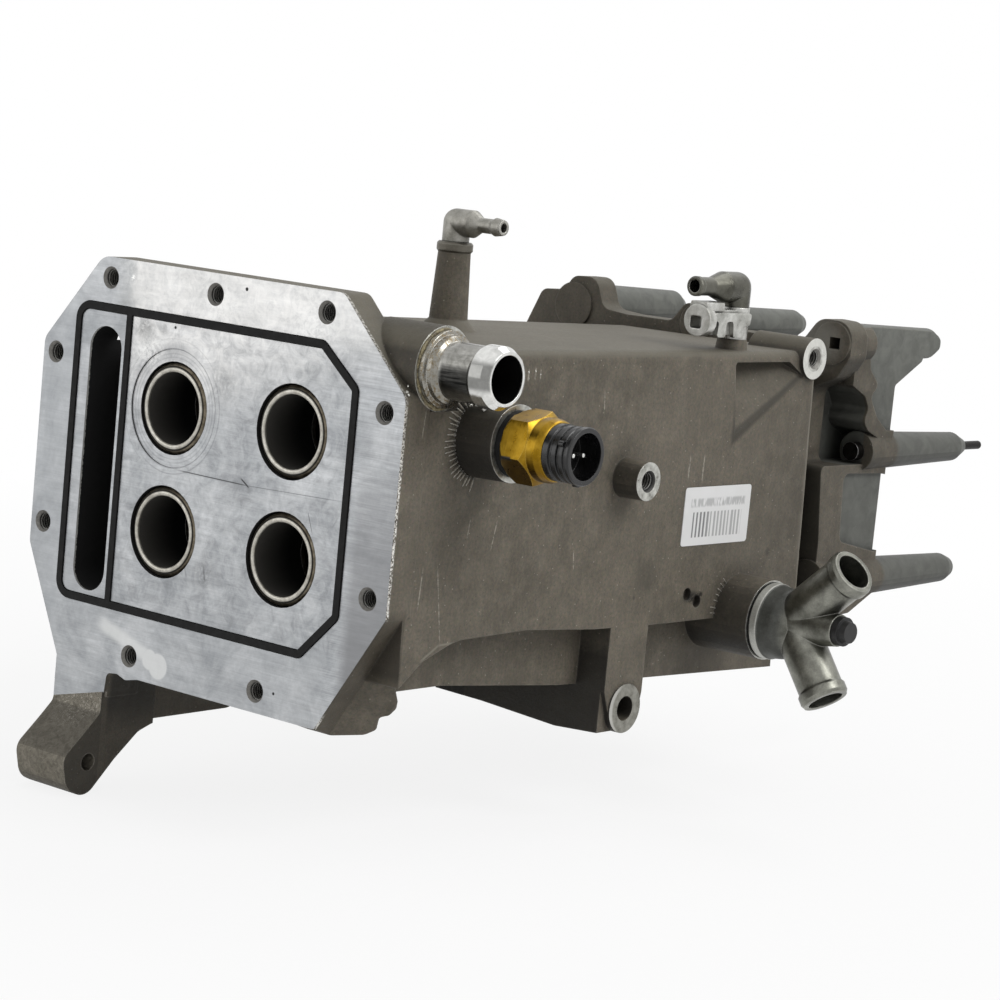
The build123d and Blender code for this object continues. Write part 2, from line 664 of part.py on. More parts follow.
# Rear cover
cover_face_y = REAR_Y1 + COVER_SEAL_T
cover_corners = [(COVER_X, -COVER_Z), (COVER_X, COVER_Z), (-COVER_X, COVER_Z), (-COVER_X, -COVER_Z)]
window = block(-CORE_BORE_X + 3, CORE_BORE_X - 3, REAR_Y1 - 1, REAR_Y1 + 3, -CORE_BORE_Z + 3, CORE_BORE_Z - 3)
cover_seal = prism_y(cover_corners, REAR_Y1, cover_face_y, 8.0)
seal_holes = [rod(COVER_SCREW_R + 0.3, (x, REAR_Y1 - 1, z), (x, cover_face_y + 1, z)) for x, z in COVER_SCREWS]
write("rear_cover_seal", less(cover_seal, [window] + seal_holes))

cover = prism_y(cover_corners, cover_face_y, cover_face_y + COVER_T, 8.0)
dome_top = cover_face_y + COVER_T + 8
dome = prism_y([(48, -38), (48, 38), (-48, 38), (-48, -38)], cover_face_y, dome_top, 10.0)
dome_hollow = prism_y([(45, -35), (45, 35), (-45, 35), (-45, -35)], cover_face_y - 1, dome_top - 3, 7.0)
cover_holes = [
    rod(COVER_SCREW_R + 0.3, (x, cover_face_y - 1, z), (x, cover_face_y + COVER_T + 1, z)) for x, z in COVER_SCREWS
]
write("rear_cover", less(joined([cover, dome]), [dome_hollow] + cover_holes))

screws = []
head_y = cover_face_y + COVER_T
for x, z in COVER_SCREWS:
    shank = rod(COVER_SCREW_R, (x, REAR_Y1 - 9, z), (x, head_y + 1, z))
    head = prism_y(
        [(x + 4.6 * math.cos(a), z + 4.6 * math.sin(a)) for a in [math.pi * k / 3 for k in range(6)]],
        head_y,
        head_y + 3.5,
    )
    screws.append(joined([shank, head]))
write("rear_cover_screws", screws)

# Coolant nipple
nipple_profile = [
    (NIPPLE_BORE_R, -8.0),
    (NIPPLE_SPIGOT_R, -8.0),
    (NIPPLE_SPIGOT_R, 0.0),
    (14.7, 0.0),
    (14.7, 2.4, 0.5),
    (13.2, 2.9),
    (12.9, 5.0, 1.0),
    (11.0, 6.4, 1.0),
    (11.0, 20.6, 1.0),
    (12.0, 22.0, 0.8),
    (12.0, 28.0, 0.8),
    (10.7, 30.0, 0.4),
    (10.3, 30.8),
    (NIPPLE_BORE_R, 30.8),
]
write("coolant_nipple", turned(nipple_profile, (NIPPLE_FACE_X, *NIPPLE_AT), (1, 0, 0)))

# Temperature sensor: seal ring, brass body, plug housing and contacts
SENSOR_SEAL_T = 2.6
seal_x1 = SENSOR_FACE_X + SENSOR_SEAL_T
seal_profile = [(9.2, 0), (12.8, 0), (12.8, SENSOR_SEAL_T), (9.2, SENSOR_SEAL_T)]
sensor_seal = turned(seal_profile, (SENSOR_FACE_X, *SENSOR_AT), (1, 0, 0))
write("sensor_seal", sensor_seal)

HEX_LEN, COLLAR_LEN = 12.0, 6.4
hex_x1 = seal_x1 + HEX_LEN
collar_x1 = hex_x1 + COLLAR_LEN
PLUG_X1 = 139.0
hex_corners = []
for k in range(6):
    angle = math.radians(75.3 + 60 * k)
    hex_corners.append((SENSOR_AT[0] + 14.6 * math.cos(angle), SENSOR_AT[1] + 14.6 * math.sin(angle)))
hexagon = prism_x(hex_corners, seal_x1, hex_x1)
bevel = turned(
    [(0, 0), (12.9, 0), (14.8, 2.4), (14.8, HEX_LEN - 2.0), (12.3, HEX_LEN), (0, HEX_LEN)],
    (seal_x1, *SENSOR_AT),
    (1, 0, 0),
)
sensor_body = common(hexagon, bevel)
sensor_body = joined(
    [
        sensor_body,
        rod(9.2, (SENSOR_FACE_X, *SENSOR_AT), (seal_x1 + 1, *SENSOR_AT)),
        rod(SENSOR_THREAD_R, (83, *SENSOR_AT), (SENSOR_FACE_X + 1, *SENSOR_AT)),
        rod(3.2, (66, *SENSOR_AT), (84, *SENSOR_AT)),
        turned(
            [(0, 0), (12.3, 0), (12.3, 3.6, 2.0), (11.7, COLLAR_LEN - 0.6), (11.2, COLLAR_LEN), (0, COLLAR_LEN)],
            (hex_x1, *SENSOR_AT),
            (1, 0, 0),
        ),
    ]
)
write("sensor_body", sensor_body)

plug_len = PLUG_X1 - collar_x1
plug_profile = [
    (0, 0),
    (11.0, 0),
    (11.0, 2.6),
    (10.2, 3.0),
    (10.2, 3.8),
    (10.8, 4.2),
    (10.8, 6.2),
    (10.0, 6.6),
    (10.0, 7.4),
    (10.9, 7.8),
    (10.9, 9.4),
    (10.3, 9.8),
    (10.3, 10.4),
    (11.1, 10.8),
    (11.1, plug_len - 0.5),
    (10.7, plug_len),
    (9.0, plug_len),
    (9.0, 2.5),
    (0, 2.5),
]
plug = turned(plug_profile, (collar_x1, *SENSOR_AT), (1, 0, 0))
catches = []
for k in range(3):
    angle = math.radians(35 + 120 * k)
    y = SENSOR_AT[0] + 10.8 * math.cos(angle)
    z = SENSOR_AT[1] + 10.8 * math.sin(angle)
    catches.append(rod(1.2, (PLUG_X1 - 5.2, y, z), (PLUG_X1 - 3.0, y, z)))
plug_root = collar_x1 + 2.5
PIN_SPACING = 6.0
pins, pin_holes = [], []
for side in (-1, 1):
    at = (SENSOR_AT[0] + side * PIN_SPACING / 2, SENSOR_AT[1])
    pins.append(rod(0.8, (plug_root - 2, *at), (plug_root + 6.5, *at)))
    pin_holes.append(rod(0.8, (plug_root - 2, *at), (plug_root + 1, *at)))
write("sensor_connector", less(joined([plug] + catches), pin_holes))
write("sensor_pins", pins)

# Front vent: elbow on the cast tower with a locking collar
tx, ty = TOWER_AT
ELBOW_Z = 107.0
collar_profile = [(VENT_TUBE_R, 0), (6.6, 0), (7.3, 0.8), (7.3, 3.4), (6.6, 4.2), (VENT_TUBE_R, 4.2)]
front_collar = turned(collar_profile, (tx, ty, TOWER_TOP_Z), (0, 0, 1))
write("front_vent_collar", front_collar)

BARB_X1 = 54.4
front_elbow = joined(
    [
        rod(VENT_TUBE_R, (tx, ty, TOWER_TOP_Z), (tx, ty, ELBOW_Z)),
        rod(5.5, (tx, ty, TOWER_TOP_Z + 4.2), (tx, ty, ELBOW_Z)),
        Solid.make_sphere(5.5, Plane(origin=(tx, ty, ELBOW_Z))),
        rod(5.5, (tx, ty, ELBOW_Z), (tx + 9, ty, ELBOW_Z)),
        rod(5.5, (tx + 9, ty, ELBOW_Z), (tx + 13, ty, ELBOW_Z), 3.0),
        rod(3.0, (tx + 12, ty, ELBOW_Z), (BARB_X1, ty, ELBOW_Z)),
        rod(3.0, (BARB_X1 - 5.5, ty, ELBOW_Z), (BARB_X1 - 3.8, ty, ELBOW_Z), 3.7),
        rod(3.7, (BARB_X1 - 3.8, ty, ELBOW_Z), (BARB_X1 - 0.6, ty, ELBOW_Z), 3.2),
    ]
)
front_elbow = less(
    front_elbow,
    [
        rod(VENT_BORE_R, (tx, ty, TOWER_TOP_Z - 1), (tx, ty, ELBOW_Z)),
        rod(VENT_BORE_R, (tx, ty, ELBOW_Z), (BARB_X1 + 1, ty, ELBOW_Z)),
        Solid.make_sphere(VENT_BORE_R, Plane(origin=(tx, ty, ELBOW_Z))),
    ],
)
write("front_vent_elbow", front_elbow)

# Rear vent: union with a square-holed ring towards the front, elbow above it and a two-legged clip on its side
sx, sy = STEM_AT
UNION_TOP_Z = 80.0
REAR_ELBOW_Z = 88.3
RING_Y0 = 190.0
MOUTH_Y = 187.0
union_body = joined(
    [
        rod(6.2, (sx, sy, STEM_TOP_Z), (sx, sy, UNION_TOP_Z)),
        block(sx - 4.4, sx + 4.4, RING_Y0 + 3.6, sy, STEM_TOP_Z + 2.0, UNION_TOP_Z - 1.0),
        rod(6.8, (sx + 1, RING_Y0, 74.2), (sx + 1, RING_Y0 + 4.6, 74.2)),
        prism_y(
            [(sx - 4.2, 78.4), (sx + 5.4, 78.4), (sx + 5.0, 82.2, 1.0), (sx - 3.6, 82.2, 1.0)],
            RING_Y0 + 0.8,
            RING_Y0 + 13.0,
        ),
    ]
)
ring_hole = [(sx - 2.6, 70.7), (sx + 3.2, 70.7), (sx + 3.2, 75.9), (sx - 2.6, 75.9)]
union_body = less(
    union_body,
    [
        rod(VENT_BORE_R, (sx, sy, STEM_TOP_Z - 1), (sx, sy, UNION_TOP_Z + 1)),
        prism_y(ring_hole, RING_Y0 - 1, RING_Y0 + 7.0, 1.2),
    ],
)
write("rear_vent_union", union_body)

clip = prism_x(
    [
        (195.0, 77.8, 1.0),
        (195.0, 74.6, 1.0),
        (198.2, 74.0, 1.0),
        (197.6, 67.6, 1.2),
        (203.4, 67.6, 1.2),
        (203.8, 74.2, 1.5),
        (208.6, 74.2, 1.5),
        (209.6, 67.4, 1.2),
        (217.0, 67.4, 1.2),
        (215.4, 72.4, 1.2),
        (220.8, 72.6, 1.5),
        (221.6, 77.8, 1.5),
    ],
    sx + 4.4,
    sx + 6.6,
)
clip = less(clip, [rod(6.2, (sx, sy, STEM_TOP_Z), (sx, sy, UNION_TOP_Z))])
write("rear_vent_clip", clip)

neck_y, cone_y0, cone_y1 = MOUTH_Y + 2.6, 198.0, 206.5
rear_elbow = joined(
    [
        rod(5.9, (sx, sy, UNION_TOP_Z), (sx, sy, REAR_ELBOW_Z)),
        Solid.make_sphere(6.5, Plane(origin=(sx, sy - 1.2, REAR_ELBOW_Z))),
        rod(6.5, (sx, sy - 1.2, REAR_ELBOW_Z), (sx, cone_y1, REAR_ELBOW_Z)),
        rod(6.5, (sx, cone_y1, REAR_ELBOW_Z), (sx, cone_y0, REAR_ELBOW_Z), 3.9),
        rod(3.9, (sx, cone_y0 + 1, REAR_ELBOW_Z), (sx, MOUTH_Y + 1, REAR_ELBOW_Z)),
        rod(4.2, (sx, neck_y, REAR_ELBOW_Z), (sx, MOUTH_Y + 0.5, REAR_ELBOW_Z)),
        rod(4.2, (sx, MOUTH_Y + 0.5, REAR_ELBOW_Z), (sx, MOUTH_Y, REAR_ELBOW_Z), 3.8),
    ]
)
rear_elbow = less(
    rear_elbow,
    [
        rod(VENT_BORE_R, (sx, sy, UNION_TOP_Z - 1), (sx, sy, REAR_ELBOW_Z)),
        rod(VENT_BORE_R, (sx, sy, REAR_ELBOW_Z), (sx, MOUTH_Y - 1, REAR_ELBOW_Z)),
        Solid.make_sphere(VENT_BORE_R, Plane(origin=(sx, sy, REAR_ELBOW_Z))),
        rod(2.7, (sx, MOUTH_Y + 8, REAR_ELBOW_Z), (sx, MOUTH_Y - 1, REAR_ELBOW_Z)),
    ],
)
write("rear_vent_elbow", rear_elbow)

# Branch outlet on the rear boss
oy, oz = OUTLET_AT
seal_face_x = OUTLET_FACE_X + OUTLET_SEAL_T
outlet_seal = rod(OUTLET_FLANGE_R, (OUTLET_FACE_X, oy, oz), (seal_face_x, oy, oz))
write("outlet_seal", less(outlet_seal, [rod(OUTLET_SPIGOT_R, (OUTLET_FACE_X, oy, oz), (seal_face_x, oy, oz))]))

HUB = Vector(117.5, 228.3, -49.0)
UP_END = Vector(147.0, 225.0, -22.6)
DOWN_END = Vector(140.3, 225.0, -79.0)
PLUG_END = Vector(150.0, 225.6, -48.6)


def spigot(end, r, bead_r):
    """Tube from the hub to an end point, with a bead near its mouth."""
    along = (end - HUB).normalized()
    return [
        rod(r, HUB - along * 3.0, end),
        rod(r, end - along * 6.0, end - along * 4.8, bead_r),
        rod(bead_r, end - along * 4.8, end - along * 1.6),
        rod(bead_r, end - along * 1.6, end, r - 0.2),
    ]


UP_R, UP_BORE_R, DOWN_R, DOWN_BORE_R = 9.8, 7.9, 9.6, 7.6
up_dir = (UP_END - HUB).normalized()
down_dir = (DOWN_END - HUB).normalized()
plug_dir = (PLUG_END - HUB).normalized()
PLUG_SEAT = HUB + plug_dir * 25.0
neck_profile = [
    (0, 0),
    (OUTLET_FLANGE_R, 0),
    (OUTLET_FLANGE_R, 3.0, 0.5),
    (15.8, 3.6),
    (15.0, 10.0, 6.0),
    (11.0, 16.0, 5.0),
    (0, 18.5),
]
branch = joined(
    [
        turned(neck_profile, (seal_face_x, oy, oz), (1, 0, 0)),
        rod(OUTLET_SPIGOT_R, (94.0, oy, oz), (seal_face_x + 1, oy, oz)),
        rod(11.0, HUB - plug_dir * 2.0, PLUG_SEAT, 6.8),
    ]
    + spigot(UP_END, UP_R, 10.6)
    + spigot(DOWN_END, DOWN_R, 10.4)
)
branch = less(
    branch,
    [
        rod(OUTLET_BORE_R, (93.0, oy, oz), HUB),
        rod(UP_BORE_R, HUB, UP_END + up_dir),
        rod(DOWN_BORE_R, HUB, DOWN_END + down_dir),
        rod(4.0, HUB, PLUG_SEAT + plug_dir),
    ],
)
write("branch_outlet", branch)

branch_plug = joined(
    [
        rod(4.0, PLUG_SEAT - plug_dir * 6.0, PLUG_SEAT),
        rod(6.2, PLUG_SEAT, PLUG_SEAT + plug_dir * 3.0),
        rod(5.0, PLUG_SEAT + plug_dir * 3.0, PLUG_SEAT + plug_dir * 6.0, 4.4),
    ]
)
write("branch_plug", branch_plug)

# Long bolt through the middle sleeve
bolt_z = MID_SLEEVE_Z
long_bolt = joined(
    [
        rod(LONG_BOLT_R - 0.2, (SIDE_SLEEVE_X, 312, bolt_z), (SIDE_SLEEVE_X, 422.5, bolt_z)),
        rod(LONG_BOLT_R, (SIDE_SLEEVE_X, MID_SLEEVE_Y1 + 1, bolt_z), (SIDE_SLEEVE_X, 422.5, bolt_z)),
        rod(4.2, (SIDE_SLEEVE_X, 311, bolt_z), (SIDE_SLEEVE_X, 316, bolt_z)),
    ]
)
write("long_bolt", long_bolt)

# Label
label = prism_x(
    [(LABEL_Y0, LABEL_Z0), (LABEL_Y1, LABEL_Z0), (LABEL_Y1, LABEL_Z1), (LABEL_Y0, LABEL_Z1)],
    SIDE_X,
    SIDE_X + LABEL_T,
    1.5,
)
write("label", label)
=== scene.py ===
import math

import bpy
from mathutils import Matrix, Vector


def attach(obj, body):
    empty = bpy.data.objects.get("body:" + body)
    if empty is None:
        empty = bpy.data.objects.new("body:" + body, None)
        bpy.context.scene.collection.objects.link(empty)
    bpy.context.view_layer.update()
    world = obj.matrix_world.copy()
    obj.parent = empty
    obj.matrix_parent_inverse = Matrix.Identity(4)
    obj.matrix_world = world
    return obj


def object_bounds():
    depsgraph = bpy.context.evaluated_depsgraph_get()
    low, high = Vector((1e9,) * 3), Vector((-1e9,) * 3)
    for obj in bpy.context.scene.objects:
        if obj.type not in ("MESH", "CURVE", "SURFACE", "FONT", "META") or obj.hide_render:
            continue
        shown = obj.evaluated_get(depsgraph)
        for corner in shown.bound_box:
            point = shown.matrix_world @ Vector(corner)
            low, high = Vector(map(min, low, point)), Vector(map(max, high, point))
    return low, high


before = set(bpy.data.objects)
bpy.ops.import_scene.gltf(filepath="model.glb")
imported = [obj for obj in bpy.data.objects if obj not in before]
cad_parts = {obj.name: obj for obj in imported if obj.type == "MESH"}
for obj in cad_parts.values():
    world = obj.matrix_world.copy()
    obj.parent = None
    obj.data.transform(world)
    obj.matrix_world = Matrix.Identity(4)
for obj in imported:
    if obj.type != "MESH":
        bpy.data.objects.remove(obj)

cad_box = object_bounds()
MM = 0.001


class Graph:
    """Short names for building one node material. Positions are in millimetres of the row frame."""

    def __init__(self, name):
        self.mat = bpy.data.materials.new(name)
        self.mat.use_nodes = True
        self.tree = self.mat.node_tree
        self.tree.nodes.clear()
        self.out = self.node("ShaderNodeOutputMaterial")
        self.bsdf = self.node("ShaderNodeBsdfPrincipled")
        self.link(self.bsdf.outputs[0], self.out.inputs[0])
        coord = self.node("ShaderNodeTexCoord")
        self.pos = self.place((1000, 1000, 1000), vector=coord.outputs["Object"])
        self.x, self.y, self.z = self.split(self.pos)
        self.normal = self.node("ShaderNodeNewGeometry").outputs["True Normal"]
        self.nx, self.ny, self.nz = self.split(self.normal)

    def node(self, kind, **values):
        made = self.tree.nodes.new(kind)
        for key, value in values.items():
            setattr(made, key, value)
        return made

    def link(self, a, b):
        self.tree.links.new(a, b)

    def put(self, socket, value):
        if isinstance(value, bpy.types.NodeSocket):
            self.link(value, socket)
        elif isinstance(value, (tuple, list)) and len(value) == 3 and socket.type == "RGBA":
            socket.default_value = (*value, 1.0)
        else:
            socket.default_value = value

    def split(self, vector):
        sep = self.node("ShaderNodeSeparateXYZ")
        self.put(sep.inputs[0], vector)
        return sep.outputs

    def combine(self, x, y, z):
        made = self.node("ShaderNodeCombineXYZ")
        for socket, value in zip(made.inputs, (x, y, z)):
            self.put(socket, value)
        return made.outputs[0]

    def vec(self, operation, a, b):
        """A number from two vectors."""
        made = self.node("ShaderNodeVectorMath", operation=operation)
        self.put(made.inputs[0], a)
        self.put(made.inputs[1], b)
        return made.outputs["Value"]

    def m(self, operation, a, b=0.0, clamp=False):
        made = self.node("ShaderNodeMath", operation=operation, use_clamp=clamp)
        self.put(made.inputs[0], a)
        if operation not in ("ABSOLUTE", "SQRT", "FRACT"):
            self.put(made.inputs[1], b)
        return made.outputs[0]

    def add(self, a, b):
        return self.m("ADD", a, b)

    def sub(self, a, b):
        return self.m("SUBTRACT", a, b)

    def mul(self, a, *rest):
        for b in rest:
            a = self.m("MULTIPLY", a, b)
        return a

    def top(self, a, *rest):
        for b in rest:
            a = self.m("MAXIMUM", a, b)
        return a

    def inv(self, a):
        return self.m("SUBTRACT", 1.0, a, clamp=True)

    def over(self, value, edge, soft):
        """0 below edge, 1 above it, over a soft width."""
        made = self.node("ShaderNodeMapRange", interpolation_type="SMOOTHSTEP")
        self.put(made.inputs["Value"], value)
        made.inputs["From Min"].default_value = edge - soft / 2
        made.inputs["From Max"].default_value = edge + soft / 2
        return made.outputs[0]

    def under(self, value, edge, soft):
        return self.inv(self.over(value, edge, soft))

    def band(self, value, low, high, soft=0.4):
        return self.mul(self.over(value, low, soft), self.under(value, high, soft))

    def remap(self, value, low, high, to_low=0.0, to_high=1.0):
        """A range spread over another, held at its ends."""
        made = self.node("ShaderNodeMapRange")
        self.put(made.inputs["Value"], value)
        for key, number in (("From Min", low), ("From Max", high), ("To Min", to_low), ("To Max", to_high)):
            made.inputs[key].default_value = number
        return made.outputs[0]

    def place(self, scale=(1, 1, 1), shift=(0, 0, 0), turn=(0, 0, 0), vector=None):
        made = self.node("ShaderNodeMapping")
        self.put(made.inputs["Vector"], self.pos if vector is None else vector)
        made.inputs["Scale"].default_value = scale
        made.inputs["Location"].default_value = shift
        made.inputs["Rotation"].default_value = turn
        return made.outputs[0]

    def noise(self, size, detail=3.0, rough=0.5, vector=None, warp=0.0, shift=0.0):
        """Noise with features about `size` millimetres across; returns (value, colour)."""
        made = self.node("ShaderNodeTexNoise")
        if shift:
            vector = self.place(shift=(shift, shift * 0.7, -shift), vector=vector)
        self.put(made.inputs["Vector"], self.pos if vector is None else vector)
        made.inputs["Scale"].default_value = 1.0 / size
        made.inputs["Detail"].default_value = detail
        made.inputs["Roughness"].default_value = rough
        made.inputs["Distortion"].default_value = warp
        return made.outputs["Fac"], made.outputs["Color"]

    def streaks(self, along, size, stretch, detail=4.0, shift=0.0, turn=(0, 0, 0)):
        """Noise drawn out along one axis (0, 1 or 2)."""
        scale = [1.0, 1.0, 1.0]
        scale[along] = 1.0 / stretch
        drawn = self.place(scale=scale, shift=(shift, shift, shift), turn=turn)
        return self.noise(size, detail, 0.6, drawn)[0]

    def cells(self, size, shift=0.0):
        made = self.node("ShaderNodeTexVoronoi", feature="F1")
        self.put(made.inputs["Vector"], self.place(shift=(shift, shift, shift)))
        made.inputs["Scale"].default_value = 1.0 / size
        return made.outputs["Distance"]

    def mix(self, fac, a, b, blend="MIX"):
        """Two colours; the node's colour sockets are inputs 6 and 7 and output 2."""
        made = self.node("ShaderNodeMix", data_type="RGBA", blend_type=blend)
        self.put(made.inputs["Factor"], fac)
        self.put(made.inputs[6], a)
        self.put(made.inputs[7], b)
        return made.outputs[2]

    def blend(self, fac, a, b):
        """Two numbers, which are inputs 2 and 3 of the node."""
        made = self.node("ShaderNodeMix", data_type="FLOAT")
        self.put(made.inputs["Factor"], fac)
        self.put(made.inputs[2], a)
        self.put(made.inputs[3], b)
        return made.outputs[0]

    def shade(self, color, value):
        """A colour times a number."""
        made = self.node("ShaderNodeHueSaturation")
        self.put(made.inputs["Color"], color)
        self.put(made.inputs["Value"], value)
        return made.outputs[0]

    def paint(self, fac, color):
        """Lay a colour over the base colour so far."""
        self.base = self.mix(fac, self.base, color)

    def dim(self, value):
        self.base = self.shade(self.base, value)

    def near(self, point, radius, soft):
        """1 within a radius of a point given in millimetres."""
        return self.under(self.vec("DISTANCE", self.pos, point), radius, soft)

    def off_axis(self, axis, at):
        """Distance from a line along x, y or z through `at`, the other two coordinates."""
        u, v = (c for i, c in enumerate((self.x, self.y, self.z)) if i != axis)
        a, b = self.sub(u, at[0]), self.sub(v, at[1])
        return self.m("SQRT", self.add(self.mul(a, a), self.mul(b, b)))

    def stroke(self, a, b, width, axis=0):
        """1 on a line from a to b, points in the plane across x, y or z."""
        u, v = (c for i, c in enumerate((self.x, self.y, self.z)) if i != axis)
        dx, dy = b[0] - a[0], b[1] - a[1]
        length = math.hypot(dx, dy)
        dx, dy = dx / length, dy / length
        pu, pv = self.sub(u, a[0]), self.sub(v, a[1])
        along = self.add(self.mul(pu, dx), self.mul(pv, dy))
        across = self.m("ABSOLUTE", self.sub(self.mul(pu, -dy), self.mul(pv, -dx)))
        between = self.band(along, 0.0, length, length * 0.3)
        return self.mul(between, self.under(across, width / 2, width * 0.6))

    def edge(self, radius, low=0.02, high=0.25):
        """(rounded normal, 1 near a sharp edge) from the bevel of the surface normals."""
        made = self.node("ShaderNodeBevel", samples=6)
        made.inputs["Radius"].default_value = radius * MM
        bent = self.vec("DOT_PRODUCT", made.outputs[0], self.normal)
        return made.outputs[0], self.remap(self.inv(bent), low, high)

    def crevice(self, distance):
        """0 in tight corners, 1 in the open."""
        made = self.node("ShaderNodeAmbientOcclusion", samples=6)
        made.inputs["Distance"].default_value = distance * MM
        return made.outputs["AO"]

    def bump(self, height, depth, normal=None, strength=1.0):
        """Bump from a height between 0 and 1, with its depth in millimetres."""
        made = self.node("ShaderNodeBump")
        self.put(made.inputs["Height"], height)
        made.inputs["Distance"].default_value = depth * MM
        made.inputs["Strength"].default_value = strength
        if normal is not None:
            self.put(made.inputs["Normal"], normal)
        return made.outputs[0]

    def finish(self, rough, metal, normal=None, **more):
        self.put(self.bsdf.inputs["Base Color"], self.base)
        self.put(self.bsdf.inputs["Roughness"], rough)
        self.put(self.bsdf.inputs["Metallic"], metal)
        if normal is not None:
            self.link(normal, self.bsdf.inputs["Normal"])
        for key, value in more.items():
            self.bsdf.inputs[key.replace("_", " ")].default_value = value
        return self.mat


def srgb(r, g, b):
    """Linear colour from 8-bit sRGB."""
    return tuple(((c / 255 + 0.055) / 1.055) ** 2.4 if c > 10 else c / 3294.6 for c in (r, g, b))


# Places in millimetres of the row frame: (y, z) of the side fittings, and the x of the faces they sit on
SIDE_X = 88.0
NIPPLE_AT, NIPPLE_FACE_X = (19.5, 56.0), 88.5
SENSOR_AT, SENSOR_FACE_X = (45.5, 29.6), 105.5
PLUG_BOSS_AT, PLUG_BOSS_FACE_X = (139.0, 11.0), 100.0
TOP_BOSS_AT, TOP_BOSS_FACE_X = (265.0, 59.0), 90.0
OUTLET_AT, OUTLET_FACE_X = (229.0, -51.3), 105.0
LUG_AT, LUG_FACE_X = (154.0, -86.0), 88.8
PORT_X, PORT_Z = 32.45, 24.65
RIB_SKIN_Y = 301.5
LABEL_Y, LABEL_Z = (182.0, 229.5), (-19.8, 5.0)
FACE_SCREWS = [
    (-73.3, 71.8), (-14.0, 71.8), (45.3, 71.8), (78.45, 38.35), (78.45, -31.7),
    (25.0, -77.5), (-45.8, -77.5), (-102.35, -31.7), (-102.35, 38.35),
]
# Scuffs on the side wall, as (start, end, width) in y and z
SCUFFS = [
    ((18.9, -20.4), (18.0, -34.5), 0.6), ((27.5, -20.5), (32.5, -47.9), 0.5), ((60, -4), (58, -14), 0.5),
    ((96, 34), (97, 25), 0.6), ((70.6, 55.4), (70.6, 51.0), 1.0), ((74.8, 56.0), (74.8, 51.4), 0.9),
    ((78.0, 55.2), (78.0, 51.0), 0.7), ((183.0, 18.0), (182.8, 9.0), 0.9), ((193.0, 18.0), (192.9, 8.0), 0.8),
    ((12, 40), (11, 30), 0.6), ((44, -2), (43, -9), 0.5), ((120, 46), (121, 38), 0.6),
    ((110, -18), (111, -25), 0.5),
]


def cast_skin(g):
    """Mottled taupe with a fine coloured grain, pits and flecks."""
    cloud = g.noise(55, 4, 0.55)[0]
    fine = g.noise(0.45, 2, 0.5, shift=11)[0]
    g.base = g.mix(g.remap(cloud, 0.35, 0.68), srgb(87, 82, 72), srgb(104, 98, 87))
    g.paint(g.mul(g.remap(g.blotch, 0.44, 0.74), 0.7), srgb(116, 109, 97))
    tint = g.mix(0.2, (0.5, 0.5, 0.5), g.grain_color)
    g.base = g.mix(0.9, g.base, tint, "SOFT_LIGHT")
    g.dim(g.remap(g.grain, 0.3, 0.7, 0.74, 1.22))
    upright = g.streaks(2, 2.0, 10, 3.0, shift=91)
    g.dim(g.remap(upright, 0.3, 0.7, 0.94, 1.06))
    pits = g.under(g.cells(2.3, 5), 0.12, 0.08)
    g.paint(g.mul(pits, 0.4), srgb(48, 44, 38))
    flecks = g.under(g.cells(3.7, 71), 0.075, 0.05)
    g.paint(g.mul(flecks, 0.5), srgb(178, 172, 160))
    g.height = g.add(g.mul(g.grain, 0.6), g.add(g.mul(fine, 0.3), g.mul(g.blotch, 0.5)))


def cast_roof(g):
    """Lighter, smoother top with a drawn look along the body; the top faces are painted lighter, a painted
    light from above.
    """
    # Upward faces painted lighter: painted light from above
    lit_roof = g.mul(g.over(g.nz, 0.45, 0.5), g.over(g.z, 40.0, 20.0))
    drawn = g.streaks(1, 2.4, 12, 3.0, shift=23)
    g.paint(g.mul(lit_roof, 0.7), g.mix(drawn, srgb(94, 90, 79), srgb(110, 106, 94)))


def painted_forward_shade(g):
    """Painted shade on faces that look forward, on the sides of the sensor boss, towards the rear and on the
    lower right rim.
    """
    # Painted shade on the forward-looking faces
    top_rear = g.mul(g.over(g.y, 262.0, 4.0), 30.0)
    forward = g.mul(
        g.under(g.ny, -0.6, 0.5), g.band(g.y, 3.0, 297.0, 2.0), g.under(g.add(g.z, top_rear), 63.0, 3.0)
    )
    forward = g.mul(forward, g.inv(g.heel))
    g.paint(g.mul(forward, g.remap(g.z, -64.0, -58.0, 0.85, 0.5)), srgb(30, 29, 26))
    # Painted shade on the sensor boss's sides, more on faces turned down
    boss = g.mul(
        g.over(g.x, SIDE_X + 0.8, 0.6), g.near((96, *SENSOR_AT), 24.0, 2.0),
        g.remap(g.nz, -0.2, 0.9, 0.7, 0.3),
    )
    g.paint(boss, srgb(34, 32, 29))
    # Painted shade, darker towards the rear
    g.dim(g.remap(g.y, 150.0, 310.0, 1.0, 0.8))
    # Painted shade on the lower right rim
    rim = g.mul(g.band(g.y, 0.6, 11.4, 0.8), g.over(g.x, 40.0, 10.0), g.under(g.z, -36.0, 6.0))
    g.paint(g.mul(rim, 0.5), srgb(62, 56, 46))


